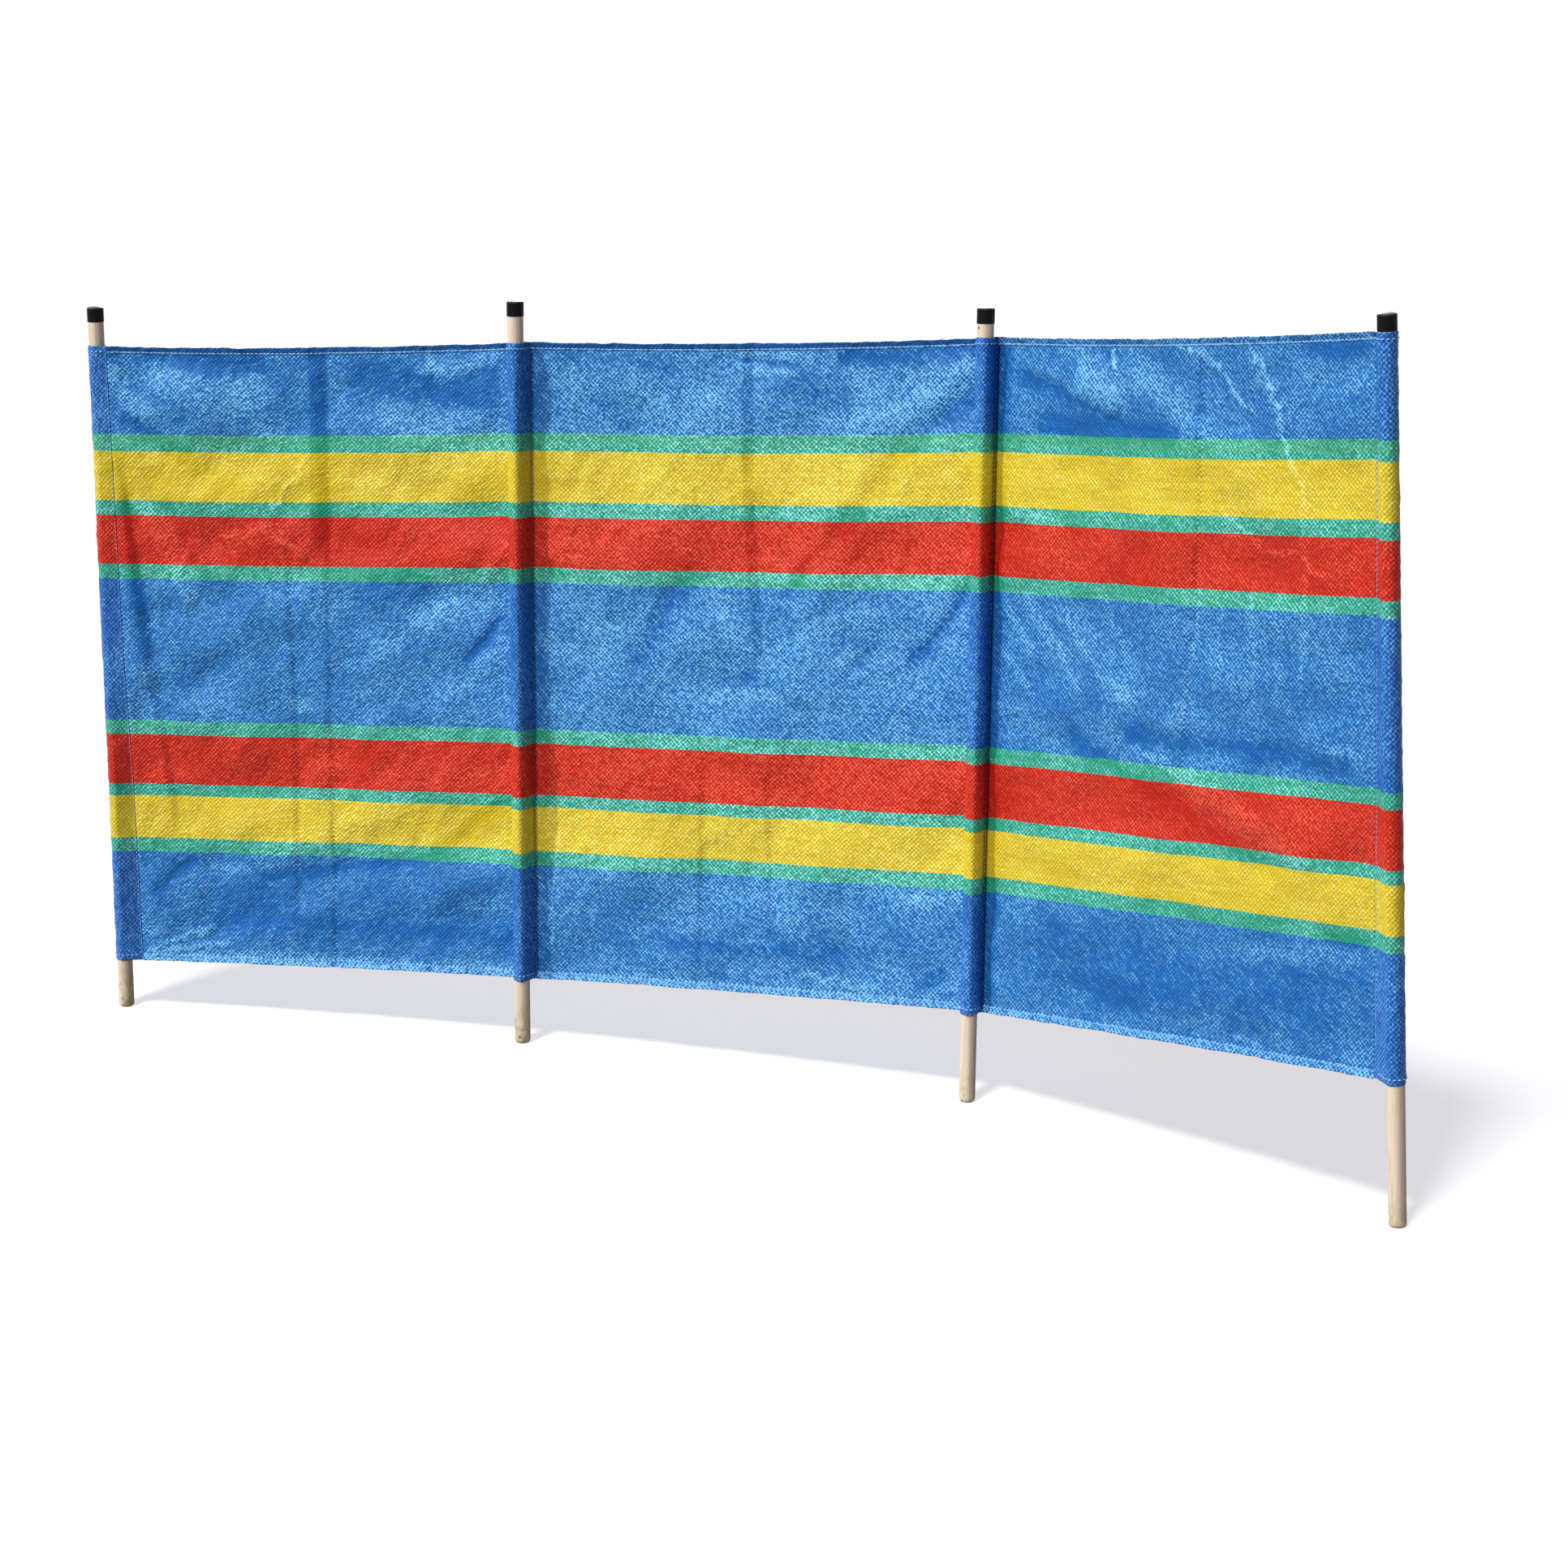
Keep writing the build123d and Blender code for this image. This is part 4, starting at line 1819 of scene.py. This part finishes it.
@dataclass(frozen=True)
class Studio:
    """A pale floor, a soft studio light and the camera. Lengths are metres."""

    camera_place: tuple[float, float, float] = (3.0409, -3.6732, 1.4785)
    camera_turn: float = 27.852
    camera_dip: float = 13.788
    camera_roll: float = -0.229
    lens: float = 75.87
    sensor: float = 36.0
    object_lamps: tuple[Lamp, ...] = (
        Lamp("key", (-0.73, -0.68), height=45.0, strength=2.42, softness=2.0),
        Lamp("front", (-0.26, -0.966), height=32.0, strength=1.80, softness=14.0),
        Lamp("rear", (-0.467, 0.884), height=14.0, strength=2.6, softness=14.0),
    )
    floor_lamp: Lamp = Lamp("overhead", (-0.065, -0.998), height=62.0, strength=1.33, softness=9.0)
    fill: tuple[float, float, float] = (0.164, 0.148, 0.180)
    floor_size: float = 400.0
    floor_bounce: float = 0.42
    floor_shade: float = 0.86
    floor_glow: float = 0.56

    def place_camera(self) -> None:
        """Makes the camera."""
        turn, dip = math.radians(self.camera_turn), math.radians(self.camera_dip)
        roll = math.radians(self.camera_roll)
        ahead = Vector(
            (-math.sin(turn) * math.cos(dip), math.cos(turn) * math.cos(dip), -math.sin(dip))
        )
        right = Vector((math.cos(turn), math.sin(turn), 0.0))
        upward = right.cross(ahead)
        side = right * math.cos(roll) + upward * math.sin(roll)
        top = upward * math.cos(roll) - right * math.sin(roll)
        data = bpy.data.cameras.new("camera")
        data.lens = self.lens
        data.sensor_width = self.sensor
        camera = bpy.data.objects.new("camera", data)
        axes = Matrix((side, top, -ahead)).transposed().to_4x4()
        camera.matrix_world = Matrix.Translation(self.camera_place) @ axes
        bpy.context.scene.collection.objects.link(camera)
        bpy.context.scene.camera = camera

    def build(self) -> None:
        """Makes the camera, the floor, the lamps and the sky."""
        self.place_camera()
        floor = self.build_floor()
        for name, lit, lamps in (
            ("object_light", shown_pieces(), self.object_lamps),
            ("floor_light", [floor], [self.floor_lamp]),
        ):
            collection = bpy.data.collections.new(name)
            for thing in lit:
                collection.objects.link(thing)
            for lamp in lamps:
                lamp.build(collection)
        self.build_sky()
        bpy.context.scene.view_settings.view_transform = "Standard"

    def build_floor(self) -> bpy.types.Object:
        """Makes the floor, which keeps the shadow and is white where it is lit."""
        size = self.floor_size
        mesh = bpy.data.meshes.new("floor")
        corners = [(-size, -size, 0), (size, -size, 0), (size, size, 0), (-size, size, 0)]
        mesh.from_pydata(corners, [], [(0, 1, 2, 3)])
        floor = bpy.data.objects.new("floor", mesh)
        bpy.context.scene.collection.objects.link(floor)
        floor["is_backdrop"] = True
        graph = Graph("studio_floor")
        plain, bright = (
            graph.node("BsdfDiffuse", {0: (shade,) * 3 + (1.0,)})
            for shade in (self.floor_bounce, self.floor_shade)
        )
        glow = graph.node("Emission", {1: self.floor_glow})
        lifted = graph.node("AddShader", {0: bright.outputs[0], 1: glow.outputs[0]})
        mesh.materials.append(graph.choose(plain, lifted))
        return floor

    def build_sky(self) -> None:
        """Makes the even sky that fills the shadows, and the white behind everything."""
        graph = Graph("studio_sky", sky=True)
        fill = graph.node("Background", {0: (*self.fill, 1.0)})
        white = graph.node("Background", {0: (1.0, 1.0, 1.0, 1.0)})
        bpy.context.scene.world = graph.choose(fill, white)


# ---------------------------------------------------------------- the windbreak


def packing(path: tuple, rise: float, reach: float, fade: float = 60.0) -> Fold:
    """A straight fold that the cloth keeps from being packed: one flank shaded, one sharp."""
    return Fold(path, rise, reach, Profile.PLEAT, fade, waver=0.25)


def crease(path: tuple, rise: float, reach: float, fade: float, wear_and_sheen: float) -> Fold:
    """A sharp crease whose edge turns pale: partly real stress-whitening, partly painted glint."""
    return Fold(path, rise, reach, Profile.CREASE, fade, 3.2 * wear_and_sheen, wear_reach=2.3)


def sheen(
    amount: float, reach: float, *path: tuple, rise: float = 0.0, edge: float = 2.6
) -> Fold:
    """A band of painted sheen on the cloth, or painted shade below 0, on a soft fold."""
    soft = Fold(path, 0.6 * rise, 1.2 * reach, fade=25.0, waver=1.8)
    return replace(soft, wear_and_sheen=0.8 * amount, wear_reach=reach, edge=edge)


def bay_folds() -> tuple[tuple[Fold, ...], ...]:
    """Folds of each bay, as the cloth keeps them from its packing and its hanging, with bands of
    painted sheen and painted shade.
    """
    first = (
        packing(((321, 980), (318, 700), (316, 585)), 3.4, 27, 50),
        packing(((321, 980), (318, 700), (316, 585)), 2.7, 17, 50),
        # Painted shade on the shaded flank of the packing fold.
        Fold(
            ((309, 980), (306, 700), (304, 588)), 0, 9,
            fade=60, wear_and_sheen=-0.46, waver=0.4, wear_reach=12, edge=4,
        ),
        packing(((316, 640), (312, 450), (309, 365), (306, -60)), 2.0, 6),
        packing(((258, 640), (259, 410), (254, 230), (250, 40)), 2.6, 9),
        packing(((2, 770), (19, 680), (32, 559), (54, 351), (72, 185)), 5.0, 13, 70),
        sheen(
            -0.60, 14, (-20, 902), (60, 893), (105, 880), (150, 874), (200, 874), (245, 884),
            rise=-5,
        ),
        sheen(0.60, 11, (2, 885), (14, 842), (42, 808), (80, 796), rise=4),
        sheen(0.42, 24, (50, 874), (100, 846), (150, 828), (215, 836), (240, 856), rise=3),
        sheen(0.20, 20, (190, 806), (235, 788), (262, 790)),
        sheen(-0.32, 14, (5, 806), (60, 776), (100, 745), (150, 712), (200, 692), rise=-3),
        sheen(0.18, 26, (120, 765), (175, 740), (240, 715)),
        sheen(0.38, 13, (18, 702), (45, 665), (75, 620), (95, 560), (118, 528), rise=3),
        sheen(-0.22, 9, (70, 692), (95, 650), (120, 590), (152, 552), rise=-2),
        sheen(-0.35, 11, (4, 770), (14, 680), (24, 560), (34, 440)),
        sheen(0.60, 9, (450, 872), (500, 862), (540, 871), (590, 890), rise=3),
        sheen(-0.25, 13, (425, 852), (500, 828), (560, 822), rise=-2),
        sheen(0.32, 24, (385, 806), (450, 790), (520, 784), (600, 800)),
        sheen(0.26, 20, (600, 762), (500, 742), (420, 720), (325, 700)),
        sheen(0.30, 13, (580, 880), (592, 800), rise=2),
        sheen(0.42, 16, (600, 630), (565, 590), (530, 550), (480, 520), (425, 500), rise=3),
        sheen(0.38, 13, (372, 458), (398, 476), (440, 496)),
        sheen(-0.22, 26, (340, 540), (400, 562), (480, 572)),
        sheen(-0.50, 6, (584, 532), (548, 486), (508, 450), rise=-4),
        sheen(0.30, 12, (600, 505), (562, 468), (520, 430), rise=3),
        sheen(0.15, 30, (350, 440), (480, 430), (600, 440)),
        sheen(0.60, 9, (236, 394), (268, 385), (300, 390), rise=1.4),
        sheen(0.28, 14, (600, 310), (520, 295), (450, 275), (390, 258)),
        sheen(0.30, 16, (450, 250), (380, 230), (300, 200), (230, 178), (175, 152), rise=2),
        sheen(
            -0.34, 10, (600, 262), (545, 240), (500, 200), (440, 162), (300, 142), (180, 132),
            rise=-2.5,
        ),
        sheen(-0.45, 7, (96, 168), (60, 130), (18, 92), rise=-3),
        sheen(0.30, 7, (100, 148), (140, 140), (190, 148)),
        sheen(-0.20, 10, (100, 60), (250, 66), (400, 60), (600, 55)),
        sheen(0.22, 16, (500, 96), (560, 108), (600, 112)),
        sheen(0.60, 7, (-10, 9), (200, 12), (400, 10), (630, 12)),
        sheen(-0.36, 30, (340, 848), (460, 846), (590, 838)),
        sheen(-0.16, 55, (10, 70), (300, 75), (610, 80)),
        crease(((6, 12), (60, 34), (120, 52)), 2.0, 4, 15, 0.35),
        crease(((6, 10), (60, 20), (150, 30)), 1.6, 4, 20, 0.30),
        crease(((288, 752), (272, 716), (253, 700), (227, 663)), 1.6, 4.0, 20, 0.40),
        crease(
            ((141, 635), (197, 630), (212, 644), (226, 636), (259, 620), (287, 604)),
            1.5, 4, 15, 0.36,
        ),
        crease(((196, 648), (212, 640), (230, 652)), 1.2, 4, 8, 0.32),
    )
    second = (
        packing(((321, 980), (322, 776), (322, 707), (328, 597), (342, 432)), 4.0, 15, 50),
        # Painted shade on the flank of the packing fold.
        Fold(
            ((314, 980), (315, 707), (321, 597), (334, 436)), 0, 9,
            fade=50, wear_and_sheen=-0.12, waver=0.4, wear_reach=8, edge=10,
        ),
        # Painted shade: less sheen in the cast shadow beside the pocket.
        sheen(-0.34, 17, (2, -60), (2, 500), (8, 960), edge=8),
        packing(((253, 345), (252, 200), (248, -60)), 2.6, 8, 40),
        packing(((348, 345), (352, 260), (358, 60)), 2.4, 9),
        sheen(0.60, 9, (232, 892), (290, 896), (350, 882), (415, 886), rise=2),
        sheen(0.60, 7, (285, 874), (335, 861), (392, 860), rise=2),
        sheen(-0.70, 3.2, (278, 887), (313, 877), (358, 872), (392, 869), rise=-3),
        sheen(0.28, 17, (25, 842), (50, 850), (62, 800)),
        sheen(0.42, 10, (88, 802), (128, 784)),
        sheen(0.32, 13, (138, 860), (172, 832), (206, 808)),
        sheen(0.28, 20, (200, 830), (240, 818), (295, 832)),
        sheen(0.22, 12, (190, 785), (290, 786)),
        sheen(-0.28, 12, (10, 886), (120, 880), (235, 870)),
        sheen(0.75, 14, (455, 782), (530, 803), (590, 836), (640, 874), rise=4),
        sheen(0.30, 14, (395, 800), (460, 788), (500, 850)),
        sheen(-0.64, 13, (425, 884), (520, 878), (650, 888), rise=-3),
        sheen(
            -0.30, 13, (664, 838), (580, 788), (520, 740), (490, 690), (450, 650), (400, 600),
            (368, 548), rise=-3,
        ),
        sheen(0.34, 22, (345, 670), (400, 682), (450, 706)),
        sheen(0.40, 6, (-5, 620), (50, 605), (95, 600), rise=1.5),
        sheen(-0.26, 9, (0, 592), (65, 574), rise=-2),
        sheen(-0.34, 15, (255, 604), (202, 550), (165, 482), (138, 438), rise=-3),
        sheen(0.20, 26, (55, 560), (85, 520), (125, 480)),
        sheen(0.34, 14, (5, 488), (60, 476), (140, 450)),
        sheen(0.30, 11, (276, 566), (284, 520), (300, 476)),
        sheen(-0.45, 15, (302, 462), (318, 446), (338, 444)),
        sheen(0.65, 9, (250, 412), (310, 421), (375, 419), rise=2),
        sheen(0.36, 15, (375, 488), (430, 520), (510, 542), rise=2),
        sheen(0.38, 11, (588, 478), (645, 506)),
        sheen(-0.42, 8, (640, 590), (606, 530), (556, 474), (540, 446), rise=-4),
        sheen(-0.34, 6, (514, 505), (486, 478), (462, 446), rise=-3),
        sheen(0.44, 9, (528, 138), (580, 148), (650, 156), rise=1.5),
        sheen(0.18, 14, (355, 112), (430, 108), (510, 112)),
        sheen(0.22, 8, (15, 100), (60, 106), (110, 112)),
        sheen(-0.18, 10, (90, 66), (300, 62), (520, 66)),
        sheen(0.55, 6, (386, 34), (450, 22), (530, 10), rise=2.4),
        sheen(-0.36, 8, (620, 58), (588, 34), (560, 18), rise=-2.5),
        sheen(0.25, 6, (140, 14), (220, 10), (310, 13)),
        sheen(-0.24, 34, (330, 850), (400, 842), (470, 838)),
        sheen(-0.16, 55, (10, 80), (320, 75), (650, 80)),
        crease(
            ((209, 840), (217, 809), (218, 754), (231, 713), (245, 675), (270, 600)),
            -1.0, 4.5, 20, -0.08,
        ),
    )
    third = (
        packing(((365, 980), (364, 779), (363, 683), (354, 576), (343, 416), (330, 300)), 4.0, 9),
        # Painted shade: less sheen in the cast shadow beside the pocket.
        sheen(-0.30, 20, (2, -60), (2, 500), (8, 960), edge=8),
        sheen(0.40, 15, (105, 893), (148, 882), (172, 850), rise=2),
        sheen(0.80, 17, (140, 862), (190, 838), (245, 816), rise=3),
        sheen(0.42, 18, (235, 862), (290, 838), (352, 800)),
        sheen(-0.34, 11, (25, 852), (100, 836), (160, 813), (240, 792), rise=-3),
        sheen(-0.56, 12, (60, 792), (200, 785), (335, 780), rise=-2),
        sheen(-0.45, 9, (185, 886), (236, 876)),
        sheen(-0.16, 14, (90, 742), (270, 738)),
        sheen(-0.60, 6, (350, 806), (374, 812), rise=-2.5),
        sheen(0.60, 8, (356, 785), (386, 772), rise=2),
        sheen(-0.30, 13, (520, 884), (640, 880)),
        sheen(-0.22, 10, (590, 826), (645, 814)),
        sheen(0.38, 13, (5, 692), (80, 670), (140, 648), rise=2),
        sheen(0.32, 11, (95, 646), (120, 632), (148, 616)),
        sheen(0.46, 8, (58, 575), (90, 530), (130, 490), (168, 438), rise=3.4),
        sheen(0.38, 7, (12, 505), (40, 470), (82, 432), rise=3),
        sheen(0.32, 6, (18, 565), (50, 520), (88, 478), rise=2.5),
        sheen(0.34, 7, (105, 572), (150, 522), (200, 470), (250, 436), rise=3),
        sheen(0.30, 7, (188, 586), (215, 540), (252, 484), rise=2),
        sheen(0.36, 13, (222, 466), (258, 424)),
        sheen(-0.20, 8, (44, 545), (75, 500), (110, 455), rise=-2),
        sheen(0.38, 4, (364, 625), (356, 540), (343, 470), (336, 405)),
        sheen(0.30, 5, (530, 705), (532, 600), (530, 465), rise=1.2),
        sheen(0.30, 4, (610, 690), (610, 570)),
        sheen(0.20, 6, (448, 610), (450, 440), rise=1),
        sheen(0.20, 6, (490, 610), (492, 440), rise=1),
        sheen(0.18, 6, (395, 640), (395, 460), rise=1),
        sheen(-0.32, 12, (225, 398), (400, 393), (620, 384), rise=-2),
        sheen(0.60, 5, (566, 407), (630, 395)),
        sheen(0.75, 14, (316, 358), (380, 330), (460, 298), (552, 254), rise=4),
        sheen(0.50, 8, (238, 384), (290, 370), (332, 352), rise=2),
        sheen(-0.28, 12, (130, 400), (230, 350), (340, 305), (500, 235), rise=-2),
        sheen(0.24, 11, (415, 134), (520, 142), (635, 147)),
        sheen(-0.24, 9, (540, 164), (650, 176)),
        sheen(-0.20, 8, (490, 116), (610, 112)),
        sheen(-0.20, 9, (90, 66), (220, 62), (350, 66)),
        sheen(-0.30, 10, (190, 40), (240, 44), (290, 38), rise=-1.5),
        sheen(0.45, 5, (415, 24), (485, 13), rise=2),
        sheen(-0.22, 60, (60, 90), (350, 85), (650, 90)),
        crease(((210, 893), (215, 870), (219, 850)), 1.4, 3.5, 10, 0.60),
        crease(((316, 896), (358, 883), (404, 852), (424, 826), (459, 798)), 2.2, 5, 20, 0.60),
        crease(
            ((436, 900), (467, 855), (488, 813), (496, 783), (519, 732), (546, 684)),
            2.4, 5, 20, 0.60,
        ),
        crease(
            ((389, 690), (429, 669), (466, 640), (518, 640), (551, 619), (575, 610)),
            1.8, 4, 20, 0.34,
        ),
        crease(((563, 677), (592, 658)), 1.4, 4, 12, 0.32),
    )
    return first, second, third


def build_windbreak() -> None:
    """Builds the windbreak's pieces in the order that they are put together."""
    stands = measure_stands(tapers=(11.5, 0.0, 0.0, 17.0), pulls=(9.0, 0.0, 0.0, 0.0))
    thread = Thread("sewing_thread").material()
    navy_thread = Thread(
        "navy_sewing_thread", colour=linear(0.14, 0.30, 0.62), shade=linear(0.08, 0.20, 0.48)
    ).material()
    seam_threads = (thread, navy_thread)
    chips = (
        (Chip(330, 26, 5, 12, 0.9),),
        (),
        (Chip(205, 2, 5, 22, 2.4), Chip(250, 0, 6, 9, 1.6)),
        (Chip(215, 10, 6, 16, 1.4), Chip(290, 0, 8, 6, 1.2)),
    )
    knots = (
        (Knot(12, 47, 2.4),),
        (Knot(266, 10, 2.8),),
        (Knot(232, stands[2].cap_low / MM - 5.5, 2.8),),
        (Knot(20, 24, 1.8),),
    )
    stains = ((85.0, 0.95), (75.0, 0.90), (50.0, 0.60), (45.0, 0.65))
    for stand, knocks, spots, (reach, share) in zip(stands, chips, knots, stains):
        number = stand.number
        wood = PoleWood(f"pole_{number}_softwood", stain_height=reach, stain_share=share)
        report(Dowel(stand, knocks, spots, seed=number).build(wood))
        report(Cap(stand).build(CapPlastic(f"cap_{number}_plastic")))
    # Each bay's depth paints shade or light over its cloth to even out how the lamps light the
    # bays: bay 1 lighter, bay 3 darker.
    finishes = (
        WovenCloth("bay_1_weave", turn=-28.0, sheen=0.29, depth=1.03, seed=1.0),
        WovenCloth("bay_2_weave", turn=38.0, sheen=0.42, seed=2.0),
        WovenCloth("bay_3_weave", turn=34.0, sheen=0.28, depth=0.91, seed=3.0),
    )
    offset = 0.0
    bellies, sheens = (8.0, 8.0, 6.0), ((0.05, 0.55), (0.0, 0.20), (0.40, 0.20))
    parts = zip(stands, stands[1:], bellies, bay_folds(), finishes, sheens)
    for number, (first, last, belly, folds, finish, (top, bottom)) in enumerate(parts, 1):
        surface = BaySurface(number, first, last, belly, folds, seed=39 + number)
        bay = Bay(surface, finish, top_sheen=top, bottom_sheen=bottom, offset=offset)
        for piece in bay.build(thread):
            report(piece)
        offset += surface.width
    wrinkles = (0.5, 0.18, 0.2, 0.4)
    # The pockets take the shade-tinted blue: painted shade.
    shade_tinted_pocket_stripes = tuple(
        (Dye.SHADE_TINTED_BLUE if dye is Dye.BLUE else dye, width) for dye, width in WovenCloth.stripes
    )
    for stand, wrinkle in zip(stands, wrinkles):
        # Depth 0.97 paints a little more shade on the pockets.
        finish = WovenCloth(
            f"pocket_{stand.number}_weave",
            crinkle=0.6,
            turn=80.0,
            depth=0.97,
            sheen=0.26,
            patches=0.10,
            seed=10.0 + stand.number,
            stripes=shade_tinted_pocket_stripes,
        )
        pocket = Pocket(stand, finish, wrinkle=wrinkle, ridge=2.2 if stand.inner else 0.8)
        for piece in pocket.build(thread, seam_threads[stand.inner]):
            report(piece)


def report(piece: bpy.types.Object) -> None:
    """Reports a finished piece."""
    log.info("%s: %d faces", piece.name, len(piece.data.polygons))


def main() -> None:
    """Builds the windbreak and its studio."""
    logging.basicConfig(level=logging.INFO, format="%(name)s %(message)s")
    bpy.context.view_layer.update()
    build_windbreak()
    Studio().build()


if __name__ == "__main__":
    main()
